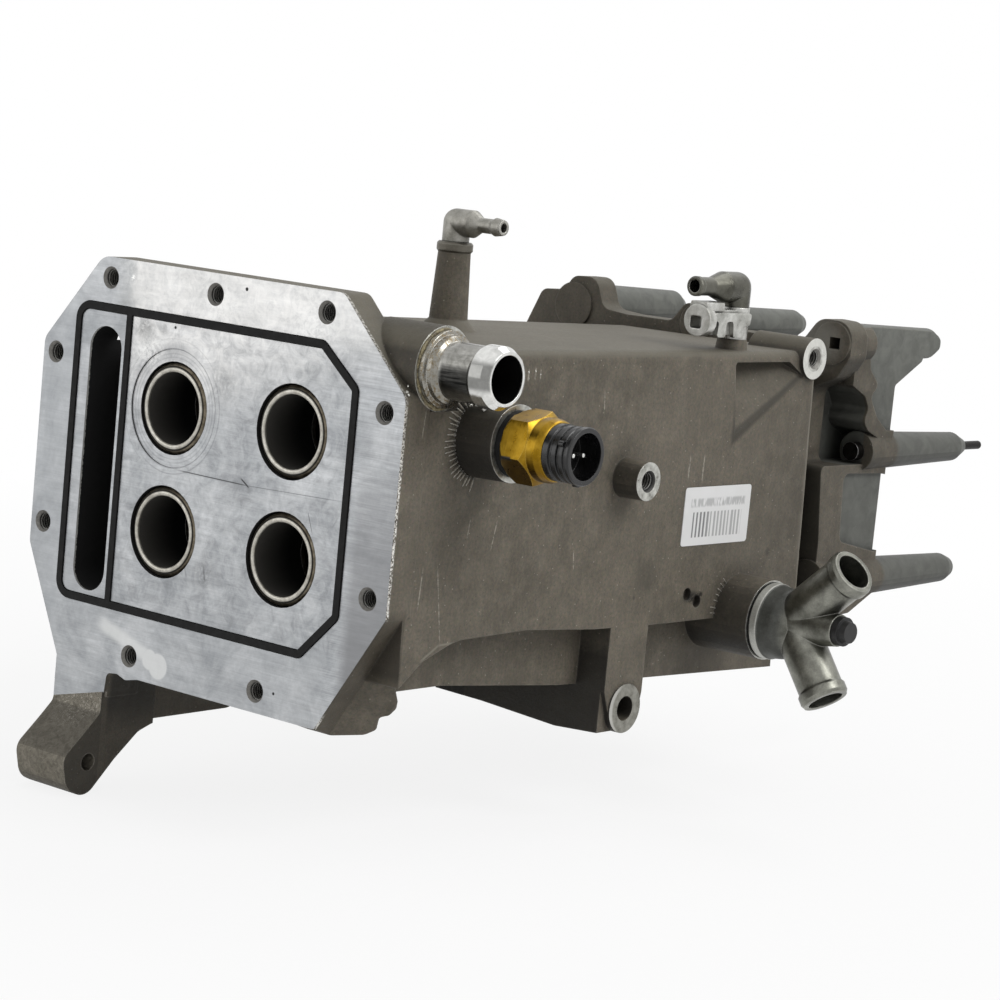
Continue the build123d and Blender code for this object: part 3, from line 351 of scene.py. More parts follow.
def rear_end(g):
    """Smoother grey bolt sleeves and panels, the grey darker lower down, painted shade in the recess before
    the rib, and a painted highlight on the rounded rear corner.
    """
    raised = g.mul(g.over(g.x, SIDE_X + 0.6, 0.6), g.under(g.y, 334.0, 3.0))
    sleeves = g.mul(g.over(g.y, RIB_SKIN_Y, 3.0), g.inv(raised))
    low_band = g.mul(g.band(g.y, 300.0, 338.0, 4.0), g.over(g.x, 87.2, 0.6), g.under(g.z, 26.0, 0.6))
    g.sleeves = g.mul(sleeves, g.inv(low_band))
    streak = g.noise(7, 4, 0.6, shift=77, warp=0.6)[0]
    grey = g.mix(g.remap(streak, 0.3, 0.7), srgb(84, 86, 82), srgb(106, 108, 103))
    grey = g.shade(grey, g.remap(g.z, 40.0, 62.0, 0.8, 1.08))
    g.paint(g.mul(g.sleeves, 0.88), grey)
    # Painted shade in the recess before the rib
    recess = g.mul(
        g.band(g.y, 273.0, 300.5, 6.0), g.under(g.x, 88.2, 0.4), g.under(g.nx, 0.75, 0.2),
        g.over(g.x, 40.0, 10.0), g.under(g.z, 50.0, 6.0),
    )
    g.paint(g.mul(recess, 0.45), srgb(52, 51, 46))
    # Painted highlight on the rounded rear corner
    corner = g.mul(
        g.band(g.nx, 0.35, 0.93, 0.2), g.band(g.ny, 0.3, 0.94, 0.2),
        g.band(g.y, 262.0, 284.0, 4.0), g.over(g.x, 76.0, 2.0),
    )
    g.paint(g.mul(corner, 0.9), srgb(150, 145, 133))


def edge_wear_and_corner_shade(g):
    """Edges painted lighter, as worn by handling and as painted highlight; corners darkened with painted
    shade.
    """
    ao = g.crevice(9.0)
    # Edges painted lighter: worn by handling and painted highlight
    g.wear = g.mul(g.sharp, g.remap(ao, 0.55, 0.8), g.remap(g.blotch, 0.3, 0.7, 0.25, 1.0))
    g.paint(g.mul(g.wear, 0.5), srgb(158, 153, 142))
    # Painted shade in corners and crevices, from the occlusion
    g.dim(g.remap(ao, 0.0, 1.0, 0.4, 1.0))


def side_wall(g):
    """Stains and scuffs on the side wall."""
    broad = g.mul(g.near((SIDE_X, 159.4, -30.9), 7.0, 7.0), 0.6)
    small = (g.near((SIDE_X, 247.6, -25.7), 1.6, 2.4), g.near((SIDE_X, 153.4, -39.7), 0.8, 0.9))
    g.paint(g.mul(g.top(broad, *small), g.side, 0.55), srgb(50, 51, 47))
    scuffs = g.top(*(g.stroke(start, end, width) for start, end, width in SCUFFS))
    scuffs = g.mul(scuffs, g.side, g.remap(g.grain, 0.35, 0.6, 0.0, 1.0))
    g.paint(g.mul(scuffs, 0.7), srgb(172, 167, 155))


def foot_front(g):
    """Rubbed and scratched front of the foot, with a chipped right edge."""
    foot = g.mul(g.under(g.ny, -0.5, 0.3), g.under(g.z, -86.0, 1.5), g.under(g.x, -55.0, 2.0))
    cloud = g.noise(2.6, 5, 0.75, warp=1.2, shift=63)[0]
    cloudy = g.mix(g.remap(cloud, 0.35, 0.7), srgb(104, 99, 87), srgb(164, 158, 144))
    g.paint(g.mul(foot, 0.8), cloudy)
    scratch = g.noise(1.7, 5, 0.8, warp=2.0, shift=17)[0]
    rubbed = g.mul(foot, g.over(scratch, 0.57, 0.08), g.near((-72, 0, -100), 13.0, 12.0))
    chipped = g.mul(
        g.over(g.x, -61.4, 1.2), g.under(g.x, -58.0, 0.5), g.under(g.z, -86.0, 1.0),
        g.under(g.y, 2.4, 1.6), g.sharp, g.over(g.chip_noise, 0.4, 0.1),
    )
    g.paint(g.mul(g.top(rubbed, chipped), 0.85), srgb(206, 200, 188))


def shaded_places(g):
    """Painted shade on undersides, hidden sides and the side pocket, painted light on the rear ear's forward
    face, and small marks of their own.
    """
    behind_foot = g.mul(
        g.under(g.z, -83.0, 6.0), g.band(g.x, -60.4, 14.0, 1.0), g.over(g.y, 3.0, 4.0),
        g.remap(g.z, -118.0, -102.0, 0.15, 0.95),
    )
    underside = g.mul(g.under(g.nz, -0.3, 0.5), g.over(g.y, 12.5, 1.0), g.inv(g.heel), 0.6)
    foot_side = g.mul(g.over(g.nx, 0.8, 0.2), g.under(g.x, -58.0, 1.0), g.under(g.z, -84.0, 2.0), 0.4)
    behind_flange = g.mul(
        g.band(g.y, 11.0, 23.0, 9.0), g.over(g.x, 60.0, 12.0), g.over(g.z, 42.0, 16.0), 0.55
    )
    g.paint(g.mul(g.top(behind_foot, underside, foot_side, behind_flange), 0.85), srgb(26, 25, 22))
    # Painted shade in the triangular pocket below the top boss
    diagonal = g.sub(g.z, g.mul(g.y, 0.6))
    pocket = g.mul(g.side, g.over(g.y, 211.0, 3.0), g.under(g.z, 52.0, 3.0), g.over(diagonal, -105.0, 3.0))
    g.paint(g.mul(pocket, 0.75), srgb(50, 48, 42))
    g.paint(g.mul(g.near((SIDE_X, 6.7, -57.7), 2.0, 9.0), 0.5), srgb(34, 32, 28))
    ledge = g.top(g.stroke((22.8, -55.2), (32.5, -49.8), 0.9), g.stroke((32.0, -50.0), (44.7, -49.6), 0.8))
    g.paint(g.mul(ledge, g.side, 0.4), srgb(150, 146, 134))
    smear = g.top(g.stroke((188.5, -41.2), (200.5, -43.0), 4.6), g.near((SIDE_X, 200.6, -41.4), 1.2, 1.2))
    smear = g.mul(smear, g.side, g.over(g.chip_noise, 0.42, 0.12))
    g.paint(g.mul(smear, 0.9), srgb(18, 18, 16))
    # Painted light on the forward face of the rear ear, which sits in shade
    lit_rear_ear = g.mul(g.near((78, 297, 64), 14.0, 8.0), g.under(g.ny, -0.8, 0.3))
    g.paint(g.mul(lit_rear_ear, 0.6), srgb(158, 156, 148))


def face_rim(g):
    """Chipped bright line where the milled face meets the cast rim."""
    at_face = g.mul(g.under(g.y, 1.5, 0.8), g.over(g.ny, -0.9, 0.1))
    right_of = g.add(g.x, g.mul(g.z, 0.35))
    right_rim = g.mul(at_face, g.over(right_of, 70.0, 6.0), g.over(g.z, -38.0, 3.0))
    torn = g.over(g.noise(1.0, 3, 0.85, shift=21)[0], 0.5, 0.1)
    g.chips = g.mul(right_rim, torn, g.remap(g.over(g.z, 41.0, 3.0), 0.0, 1.0, 1.0, 0.45))
    g.paint(g.mul(at_face, g.under(g.y, 0.9, 0.3), 0.45), srgb(52, 49, 43))
    g.paint(g.chips, srgb(236, 234, 228))
    corner = g.mul(at_face, g.near((59, 0, -86.5), 6.0, 5.0), g.over(g.chip_noise, 0.45, 0.1))
    g.paint(corner, srgb(236, 234, 228))


def cast_housing():
    """The cast skin of the housing, painted in layers."""
    g = Graph("cast_housing")
    g.round_normal, g.sharp = g.edge(1.1)
    g.blotch = g.noise(9, 5, 0.6, shift=31)[0]
    g.grain, g.grain_color = g.noise(1.3, 4, 0.72)
    g.chip_noise = g.noise(0.9, 3, 0.8, shift=29)[0]
    g.side = g.over(g.x, SIDE_X - 1.0, 1.0)
    # The heel is the low block behind the face, lower right
    g.heel = g.mul(g.under(g.y, 46.0, 4.0), g.under(g.z, -62.0, 4.0), g.over(g.x, 20.0, 4.0))
    for layer in (
        cast_skin, cast_roof, painted_forward_shade, rear_end, edge_wear_and_corner_shade,
        side_wall, foot_front, shaded_places, face_rim,
    ):
        layer(g)
    metallic = g.top(g.mul(g.chips, 0.7), g.mul(g.wear, 0.25), 0.08)
    rough = g.blend(g.mul(g.sleeves, 0.8), g.remap(g.grain, 0.3, 0.7, 0.52, 0.74), 0.5)
    rough = g.blend(g.chips, rough, 0.3)
    smoother_rear = g.inv(g.mul(g.over(g.y, RIB_SKIN_Y, 3.0), 0.7))
    normal = g.bump(g.mul(g.height, smoother_rear), 0.35, g.round_normal, 0.8)
    return g.finish(rough, metallic, normal, Specular_IOR_Level=0.3)


def milled_surface(g):
    """Clouds, specks and the lay of the cutter."""
    inner = g.mul(g.band(g.x, -58.0, 64.0, 2.0), g.band(g.z, -56.0, 59.0, 2.0))
    dark = g.mul(g.remap(g.swirl, 0.5, 0.76), g.add(g.mul(inner, 0.4), 0.12))
    light = g.mul(g.remap(g.swirl, 0.5, 0.24), g.add(g.mul(inner, 0.35), 0.12))
    g.base = g.mix(g.remap(g.patches, 0.32, 0.68), srgb(152, 155, 158), srgb(186, 188, 190))
    g.paint(dark, srgb(104, 104, 106))
    g.paint(light, srgb(206, 207, 207))
    g.dim(g.remap(g.speck, 0.3, 0.7, 0.93, 1.07))
    depth = g.add(g.mul(g.over(g.x, 60.0, 8.0), 0.1), 0.09)
    g.dim(g.add(1.0, g.mul(depth, g.remap(g.lay, 0.3, 0.7, -1.0, 1.0))))
    g.dim(g.remap(g.streaks(0, 2.2, 20, shift=9), 0.3, 0.7, 0.96, 1.04))


def milled_tones(g):
    """Painted light brighter at the top and towards the top left, painted shade duller down the right side,
    slanted sweeps, darker left rim.
    """
    # Painted light on the upper face
    upper = g.mul(g.over(g.z, 61.0, 10.0), g.over(g.x, -66.0, 20.0))
    g.paint(g.mul(upper, g.remap(g.speck, 0.4, 0.62, 0.3, 0.75)), srgb(208, 208, 206))
    # Painted light from the top left
    to_top_left = g.sub(g.z, g.mul(g.x, 0.55))
    lit = g.mul(g.over(g.z, 30.0, 44.0), g.over(to_top_left, 30.0, 60.0), g.over(g.x, -60.0, 6.0))
    g.paint(g.mul(lit, g.remap(g.swirl, 0.35, 0.65, 0.9, 0.3)), srgb(226, 225, 223))
    # Painted shade down the lower right side
    dull = g.mul(g.over(g.x, 68.0, 8.0), g.under(g.z, 20.0, 60.0))
    g.paint(g.mul(dull, g.remap(g.z, -50.0, 20.0, 0.95, 0.4)), srgb(132, 133, 135))
    sweeps = g.streaks(0, 3.0, 7, 4.0, shift=33, turn=(0, 0.35, 0))
    g.dim(g.remap(sweeps, 0.3, 0.7, 0.9, 1.08))
    g.paint(g.mul(g.under(g.x, -90.0, 6.0), 0.4), srgb(160, 163, 166))


def port_rings(g):
    """Turned rings round the upper left port, one of them reaching further out on the lower right."""
    around = g.off_axis(1, (-PORT_X, PORT_Z))
    low_right = g.over(g.sub(g.x, g.z), -48.0, 26.0)
    rings = g.top(
        g.mul(g.band(around, 23.2, 23.8, 0.3), 0.5), g.mul(g.band(around, 21.3, 21.8, 0.4), 0.3),
        g.mul(g.band(around, 19.9, 20.3, 0.4), 0.3), g.mul(g.band(around, 25.6, 26.1, 0.5), low_right, 0.4),
        g.mul(g.band(around, 27.2, 27.6, 0.5), g.inv(low_right), 0.22),
    )
    g.paint(g.mul(rings, g.remap(g.speck, 0.3, 0.6, 0.5, 1.0)), srgb(84, 85, 87))
    sheen = g.mul(g.band(around, 18.5, 26.0, 3.0), g.over(g.z, 34.0, 14.0), g.under(g.x, -24.0, 16.0))
    g.paint(g.mul(sheen, 0.35), srgb(112, 114, 118))


def milled_marks(g):
    """Scratches, spots, dark smudges, glints and the rubbed light patch below the seal."""

    def line(start, end, width):
        return g.stroke(start, end, width, axis=1)

    def spot(x, z, radius, soft):
        return g.near((x, 0, z), radius, soft)

    scratches = g.top(
        g.mul(line((-25.1, 0.9), (10.9, 0.7), 0.45), 0.8), g.mul(line((10.9, 0.7), (58.3, 2.3), 0.32), 0.45),
        g.mul(line((8.2, 2.8), (12.4, 0.2), 0.6), 0.9), g.mul(line((44.7, -4.6), (47.6, -11.8), 0.35), 0.6),
        spot(2.6, 75.7, 0.75, 0.4), spot(-34.5, 56.4, 0.6, 0.4), spot(34.9, -76.5, 0.6, 0.4),
        g.mul(line((-20.0, -33.0), (-17.4, -39.6), 0.8), 0.3),
        g.mul(line((-8.4, -34.0), (-6.9, -40.0), 0.9), 0.35),
    )
    g.paint(scratches, srgb(40, 40, 40))
    smudges = g.top(
        g.mul(spot(-51.0, 53.0, 4.5, 6.0), 0.75), g.mul(spot(-41.0, 54.5, 2.0, 4.0), 0.4),
        g.mul(spot(-7.7, -37.4, 6.0, 9.0), 0.4), g.mul(spot(-5.0, 37.0, 7.0, 12.0), 0.3),
        g.mul(spot(5.0, 2.0, 6.0, 10.0), 0.25), g.mul(spot(-62.0, 62.5, 5.0, 8.0), 0.3),
    )
    g.paint(g.mul(smudges, g.remap(g.speck, 0.35, 0.6)), srgb(70, 70, 71))
    glints = g.top(
        g.mul(spot(-47.8, 46.5, 7.0, 10.0), 0.5), g.mul(spot(-60.4, 73.1, 1.0, 1.4), 1.4),
        g.mul(spot(-10.0, 66.0, 7.0, 14.0), 0.3), g.mul(spot(38.0, 66.0, 10.0, 16.0), 0.3),
    )
    g.paint(g.mul(glints, g.over(g.speck, 0.5, 0.12)), srgb(236, 236, 234))
    patch = g.top(
        line((-63.5, -66.9), (-34.0, -75.9), 5.6), spot(-29.0, -78.4, 5.2, 1.0), spot(-34.0, -76.6, 4.2, 1.0)
    )
    g.paint(g.mul(patch, 0.7), srgb(214, 215, 214))


def milled_face():
    """The machined front: grey, cloudy inside the seal, with a fine horizontal lay."""
    g = Graph("milled_face")
    g.patches = g.noise(24, 5, 0.62, warp=0.9, shift=3)[0]
    g.swirl = g.noise(8, 7, 0.72, warp=1.4, shift=57)[0]
    g.speck = g.noise(1.9, 4, 0.75, warp=0.5, shift=81)[0]
    g.lay = g.streaks(0, 0.5, 40)
    for layer in (milled_surface, milled_tones, port_rings, milled_marks):
        layer(g)
    height = g.add(g.mul(g.lay, 0.5), g.mul(g.swirl, 0.3))
    normal = g.bump(height, 0.06, g.edge(0.3)[0], 0.8)
    return g.finish(g.remap(g.patches, 0.3, 0.7, 0.5, 0.4), 0.9, normal)


def turned_faces():
    """Spot-faced ends of the bosses and the lug, with painted highlights on the sharp edges and on one side
    of the lug face.
    """
    g = Graph("turned_faces")
    round_normal, sharp = g.edge(0.3)
    cloud = g.noise(3, 3, 0.6, shift=13)[0]
    g.base = g.mix(g.remap(cloud, 0.35, 0.65), srgb(140, 140, 134), srgb(196, 196, 190))
    # Painted highlight on sharp edges
    g.paint(g.mul(sharp, 0.6), srgb(236, 236, 232))
    lug = g.under(g.z, -70.0, 1.0)
    g.paint(g.mul(lug, 0.75), g.mix(cloud, srgb(88, 86, 78), srgb(138, 136, 126)))
    # Painted highlight on one side of the lug face
    highlight_crescent = g.mul(lug, g.over(g.off_axis(0, (156.2, -86.4)), 10.6, 1.2), g.under(g.y, 150.0, 5.0))
    g.paint(g.mul(highlight_crescent, 0.5), srgb(214, 213, 208))
    top_boss = g.near((TOP_BOSS_FACE_X, *TOP_BOSS_AT), 9.6, 0.3)
    bright = g.mul(top_boss, g.over(g.off_axis(0, TOP_BOSS_AT), 5.6, 0.4))
    g.paint(g.mul(bright, 0.6), srgb(226, 226, 220))
    rings = g.noise(0.35, 3, 0.6, g.place(scale=(1.0, 0.05, 0.05)))[0]
    return g.finish(g.remap(cloud, 0.3, 0.7, 0.26, 0.38), 0.9, g.bump(rings, 0.04, round_normal))


def bores():
    """Inside of the holes: cut metal at the mouth, painted black further in as painted shade."""
    g = Graph("bores")
    cloud = g.noise(1.2, 4, 0.7)[0]
    slot_height = g.band(g.z, -57.0, 54.0, 1.0)
    slot_left = g.mul(g.under(g.x, -72.0, 4.0), g.over(g.x, -84.0, 1.0), slot_height)
    slot_right = g.mul(g.band(g.x, -67.0, -63.0, 0.6), slot_height)
    big = g.mul(g.band(g.x, -84.0, 52.0, 1.0), slot_height)
    on_side = g.over(g.x, 84.5, 0.5)
    into = g.blend(on_side, g.y, g.sub(102.5, g.x))
    into = g.blend(g.mul(on_side, g.over(g.y, 200.0, 5.0)), into, g.sub(TOP_BOSS_FACE_X, g.x))
    mouth = g.mix(cloud, srgb(84, 82, 78), srgb(146, 144, 139))
    # Painted shade, darker with depth into each hole
    g.base = g.mix(g.remap(into, 0.6, 3.4), mouth, srgb(9, 9, 8))
    # Painted shade: the deep slot painted black
    g.paint(big, srgb(8, 8, 8))
    ragged = g.add(g.y, g.mul(g.noise(0.9, 2, 0.7, shift=47)[0], 1.6))
    lip = g.mul(g.top(slot_left, slot_right), g.under(ragged, 1.7, 0.3))
    g.paint(lip, srgb(190, 190, 186))
    return g.finish(g.blend(big, 0.5, 0.85), g.blend(big, 0.5, 0.0), g.bump(cloud, 0.1))


def steel(name, light, dark, rough, axis=0):
    """Turned or drawn steel with rings round an axis, a few stains and painted highlights on its edges."""
    g = Graph(name)
    round_normal, sharp = g.edge(0.35)
    scale = [0.02, 0.02, 0.02]
    scale[axis] = 1.0
    rings = g.noise(0.5, 3, 0.6, g.place(scale=scale))[0]
    cloud = g.noise(4.0, 4, 0.6, shift=8)[0]
    g.base = g.mix(g.remap(cloud, 0.35, 0.7), dark, light)
    g.dim(g.remap(rings, 0.3, 0.7, 0.88, 1.08))
    # Painted highlight on sharp edges
    g.paint(g.mul(sharp, 0.5), srgb(240, 240, 238))
    height = g.add(g.mul(rings, 0.5), g.mul(g.noise(0.6, 2, 0.5)[0], 0.3))
    normal = g.bump(height, 0.05, round_normal)
    return g.finish(g.remap(cloud, 0.3, 0.7, rough - 0.05, rough + 0.08), 0.95, normal)


def nipple_steel():
    """Turned steel spigot: drawn barrel with a painted dark reflection, polished bead painted brighter with a
    painted reflection, yellow-brown film at the flange.
    """
    g = Graph("nipple_steel")
    round_normal, sharp = g.edge(0.35)
    from_axis = g.off_axis(0, NIPPLE_AT)
    cloud = g.noise(4.5, 5, 0.65, warp=0.6)[0]
    drawn = g.streaks(0, 0.9, 16, 3.0, shift=37)
    rings = g.noise(0.4, 3, 0.6, g.place(scale=(1.0, 0.02, 0.02)))[0]
    g.base = g.mix(g.remap(cloud, 0.35, 0.68), srgb(128, 127, 122), srgb(176, 175, 170))
    g.dim(g.remap(drawn, 0.3, 0.7, 0.86, 1.1))
    height = g.mul(g.sub(g.z, NIPPLE_AT[1]), 1 / 11.5)
    # Painted reflection: a dark band round the barrel
    reflection_band = g.mul(g.band(height, -0.62, 0.28, 0.4), g.over(g.x, 95.5, 3.0))
    g.paint(g.mul(reflection_band, g.remap(drawn, 0.35, 0.65, 1.0, 0.85)), srgb(14, 14, 13))
    # Bead painted brighter, polish and painted reflection, with a painted dark reflection band
    head = g.over(g.x, 109.6, 0.8)
    head_reflection_band = g.mul(g.band(height, -0.4, 0.5, 0.25), g.over(from_axis, 9.9, 0.3))
    g.paint(head, g.mix(g.remap(cloud, 0.3, 0.6), srgb(196, 196, 193), srgb(226, 226, 223)))
    g.paint(g.mul(head, head_reflection_band, 0.75), srgb(84, 84, 81))
    collar = g.under(g.x, 95.0, 1.0)
    film = g.mul(collar, g.remap(g.noise(2.2, 5, 0.7, warp=1.5, shift=43)[0], 0.48, 0.62))
    g.paint(g.mul(collar, 0.5), srgb(128, 124, 114))
    g.paint(g.mul(film, 0.75), srgb(108, 90, 54))
    g.paint(g.near((97.0, 7.5, 52.5), 0.8, 0.6), srgb(20, 20, 18))
    # Painted highlight on sharp edges
    g.paint(g.mul(sharp, 0.6), srgb(244, 244, 242))
    # Painted shade inside the bore
    bore = g.mul(g.under(from_axis, 9.3, 0.2), g.under(g.x, 118.9, 0.4))
    g.paint(bore, srgb(30, 30, 29))
    normal = g.bump(g.add(g.mul(rings, 0.4), g.mul(drawn, 0.3)), 0.05, round_normal)
    return g.finish(g.blend(head, g.blend(film, 0.24, 0.5), 0.14), g.blend(bore, 0.95, 0.5), normal)


def port_steel(name, lip=False):
    """Gas port sleeve: tan chamfer, thin dark ring, light rolled lip, bore painted black further in as
    painted shade.
    """
    g = Graph(name)
    cloud = g.noise(3.5, 4, 0.6)[0]
    speck = g.noise(0.8, 3, 0.7, shift=19)[0]
    px = g.sub(g.m("ABSOLUTE", g.x), PORT_X)
    pz = g.sub(g.m("ABSOLUTE", g.z), PORT_Z)
    r = g.m("SQRT", g.add(g.mul(px, px), g.mul(pz, pz)))
    bevel = g.mix(g.remap(cloud, 0.35, 0.7), srgb(84, 76, 62), srgb(146, 137, 120))
    light = g.mix(g.remap(cloud, 0.3, 0.65), srgb(150, 146, 136), srgb(196, 193, 184))
    light = g.shade(light, g.remap(speck, 0.3, 0.7, 0.85, 1.1))
    g.base = g.mix(g.under(r, 16.5, 0.3), bevel, light)
    if not lip:
        g.paint(g.band(r, 16.1, 16.8, 0.3), srgb(26, 24, 20))
    # Painted shade, darker further into the bore
    depth = g.mul(g.over(g.y, 1.0, 0.8), g.under(r, 14.9, 0.3))
    bore_shade = g.mix(g.remap(g.y, 2.0, 20.0, 0.0, 1.0), srgb(74, 72, 68), srgb(8, 8, 8))
    g.paint(depth, bore_shade)
    normal = g.bump(g.noise(0.8, 2, 0.5)[0], 0.05, g.edge(0.3)[0])
    return g.finish(g.blend(depth, 0.34, 0.7), g.blend(depth, 0.85, 0.3), normal)


def rubber():
    """Dusty black rubber of the seals."""
    g = Graph("seal_rubber")
    dust = g.noise(2.0, 4, 0.6)[0]
    g.base = g.mix(g.remap(dust, 0.5, 0.8), srgb(9, 9, 9), srgb(24, 24, 23))
    normal = g.bump(g.noise(0.7, 3, 0.6)[0], 0.06, g.edge(0.5)[0])
    return g.finish(g.remap(dust, 0.3, 0.7, 0.6, 0.8), 0.0, normal, Specular_IOR_Level=0.25)


def brass():
    """Brass hexagon of the sensor, with painted shade on faces turned down, painted highlights on its edges
    and a black line on its lower left corner.
    """
    g = Graph("sensor_brass")
    round_normal, sharp = g.edge(0.5)
    from_axis = g.off_axis(0, SENSOR_AT)
    cloud = g.noise(5, 4, 0.6)[0]
    brushed = g.noise(0.35, 3, 0.6, g.place(scale=(1.0, 0.05, 0.05)))[0]
    g.base = g.mix(g.remap(cloud, 0.35, 0.7), srgb(130, 99, 20), srgb(174, 139, 46))
    g.dim(g.remap(brushed, 0.3, 0.7, 0.9, 1.08))
    shadow = g.mul(g.under(g.nz, -0.2, 0.5), g.over(from_axis, 11.0, 1.0))
    g.paint(g.mul(shadow, 0.7), srgb(96, 70, 12))
    # Painted highlight on sharp edges
    g.paint(g.mul(sharp, 0.5), srgb(236, 206, 120))
    hexagon = g.mul(g.under(g.x, 120.0, 0.3), g.over(from_axis, 12.0, 0.5))
    mark = g.mul(g.stroke((30.6, 25.9), (33.2, 25.2), 1.3), g.band(g.x, 108.0, 114.5, 0.6), hexagon)
    g.paint(mark, srgb(20, 20, 18))
    normal = g.bump(g.add(g.mul(brushed, 0.4), g.mul(cloud, 0.3)), 0.05, round_normal)
    return g.finish(g.remap(cloud, 0.3, 0.7, 0.24, 0.36), g.blend(mark, 1.0, 0.0), normal)


def plastic(name, dark, rough):
    """Moulded plastic, a little lighter in clouds, with a painted highlight on its edges."""
    g = Graph(name)
    round_normal, sharp = g.edge(0.4)
    cloud = g.noise(4, 3, 0.5)[0]
    g.base = g.mix(g.mul(cloud, 0.6), dark, tuple(min(1.0, c * 2.2 + 0.004) for c in dark))
    # Painted highlight on sharp edges
    g.paint(g.mul(sharp, 0.25), srgb(70, 70, 70))
    normal = g.bump(g.noise(0.8, 2, 0.5)[0], 0.03, round_normal)
    return g.finish(g.remap(cloud, 0.3, 0.7, rough - 0.04, rough + 0.08), 0.0, normal)


def blasted(name, light, dark, rough, metal=0.85):
    """Bead-blasted or die-cast light alloy, with painted highlights on its edges and painted shade in
    crevices.
    """
    g = Graph(name)
    round_normal, sharp = g.edge(0.7)
    cloud = g.noise(7, 5, 0.6)[0]
    grain = g.noise(0.5, 3, 0.6, shift=5)[0]
    g.base = g.mix(g.remap(cloud, 0.32, 0.7), dark, light)
    g.dim(g.remap(grain, 0.3, 0.7, 0.88, 1.1))
    ao = g.crevice(4.0)
    # Painted highlight on sharp edges out in the open
    g.paint(g.mul(sharp, 0.4, g.remap(ao, 0.5, 0.8)), srgb(232, 232, 226))
    # Painted shade in crevices, from the occlusion
    g.dim(g.remap(ao, 0.0, 1.0, 0.35, 1.0))
    normal = g.bump(g.add(g.mul(grain, 0.6), g.mul(cloud, 0.4)), 0.12, round_normal)
    return g.finish(g.remap(cloud, 0.3, 0.7, rough - 0.05, rough + 0.08), metal, normal)


def branch_metal():
    """The branched outlet: dull cast neck, brighter blasted tubes, painted highlights on edges and painted
    shade in crevices.
    """
    g = Graph("branch_metal")
    round_normal, sharp = g.edge(0.8)
    from_axis = g.off_axis(0, OUTLET_AT)
    cloud = g.noise(8, 5, 0.6)[0]
    grain = g.noise(0.6, 3, 0.6, shift=5)[0]
    tubes = g.mix(g.remap(cloud, 0.32, 0.7), srgb(94, 94, 87), srgb(150, 150, 141))
    neck = g.mix(g.remap(cloud, 0.32, 0.7), srgb(58, 59, 55), srgb(88, 89, 85))
    on_neck = g.mul(g.under(g.x, 119.5, 5.0), g.under(from_axis, 16.6, 1.0))
    g.base = g.mix(on_neck, tubes, neck)
    flange_rim = g.mul(g.band(g.x, 105.6, 109.2, 0.4), g.over(from_axis, 15.6, 0.4))
    g.paint(flange_rim, srgb(186, 186, 180))
    g.dim(g.remap(grain, 0.3, 0.7, 0.86, 1.1))
    # Painted highlight on sharp edges
    g.paint(g.mul(sharp, 0.35), srgb(222, 222, 214))
    # Painted shade in crevices, from the occlusion
    g.dim(g.remap(g.crevice(5.0), 0.0, 1.0, 0.3, 1.0))
    normal = g.bump(g.add(g.mul(grain, 0.5), g.mul(cloud, 0.5)), 0.12, round_normal)
    return g.finish(g.blend(on_neck, 0.34, 0.5), g.blend(on_neck, 0.9, 0.6), normal)


def label_paper():
    """White sticker with generic bars and a grey strip; nothing on it can be read."""
    g = Graph("label_paper")
    u = g.remap(g.y, *LABEL_Y, 0.0, 1.0)
    v = g.remap(g.z, *LABEL_Z, 0.0, 1.0)
    width = g.noise(1.0, 1, 0.5, g.combine(g.mul(u, 15.0), 0.0, 0.0))[0]
    bars = g.inv(g.over(g.sub(g.m("FRACT", g.mul(g.sub(u, 0.14), 19.0)), width), 0.0, 0.2))
    bars = g.mul(bars, g.band(u, 0.14, 0.88, 0.012), g.band(v, 0.14, 0.57, 0.02))
    blocks = g.noise(1.0, 0, 0.5, g.combine(g.mul(u, 60.0), g.mul(v, 6.0), 3.0))[0]
    strip = g.mul(g.over(blocks, 0.46, 0.2), g.band(u, 0.10, 0.92, 0.02), g.band(v, 0.66, 0.80, 0.05))
    ink = g.top(g.mul(bars, g.remap(g.under(u, 0.37, 0.1), 0.0, 1.0, 0.5, 0.8)), g.mul(strip, 0.4))
    paper = g.mix(g.noise(12, 3, 0.5)[0], srgb(214, 214, 213), srgb(228, 228, 228))
    g.base = g.mix(ink, paper, srgb(58, 60, 62))
    return g.finish(0.45, 0.0, g.bump(g.noise(3.0, 3, 0.5)[0], 0.04))


MATERIALS = {
    "housing": cast_housing(),
    "label": label_paper(),
    "sensor_body": brass(),
    "sensor_connector": plastic("connector_plastic", srgb(12, 12, 13), 0.22),
    "branch_plug": plastic("plug_plastic", srgb(20, 20, 20), 0.5),
    "coolant_nipple": nipple_steel(),
    "sensor_pins": steel("pin_steel", srgb(235, 235, 232), srgb(210, 210, 206), 0.15),
    "rear_cover_screws": steel("screw_steel", srgb(170, 170, 166), srgb(120, 120, 116), 0.35, axis=1),
    "long_bolt": steel("bolt_dark", srgb(46, 44, 42), srgb(24, 23, 22), 0.45, axis=1),
    "rear_cover": blasted("cover_alloy", srgb(150, 148, 142), srgb(112, 110, 104), 0.5),
    "rear_vent_clip": blasted("clip_metal", srgb(212, 212, 207), srgb(140, 140, 134), 0.3, 0.9),
    "rear_vent_union": blasted("union_metal", srgb(216, 216, 212), srgb(150, 149, 143), 0.32, 0.9),
    "rear_vent_elbow": blasted("elbow_dark", srgb(104, 103, 94), srgb(68, 67, 60), 0.28, 0.75),
    "front_vent_collar": blasted("collar_metal", srgb(124, 120, 110), srgb(84, 80, 71), 0.42, 0.6),
    "front_vent_elbow": blasted("vent_metal", srgb(176, 174, 167), srgb(104, 102, 94), 0.36, 0.7),
    "branch_outlet": branch_metal(),
}
SEAL = rubber()
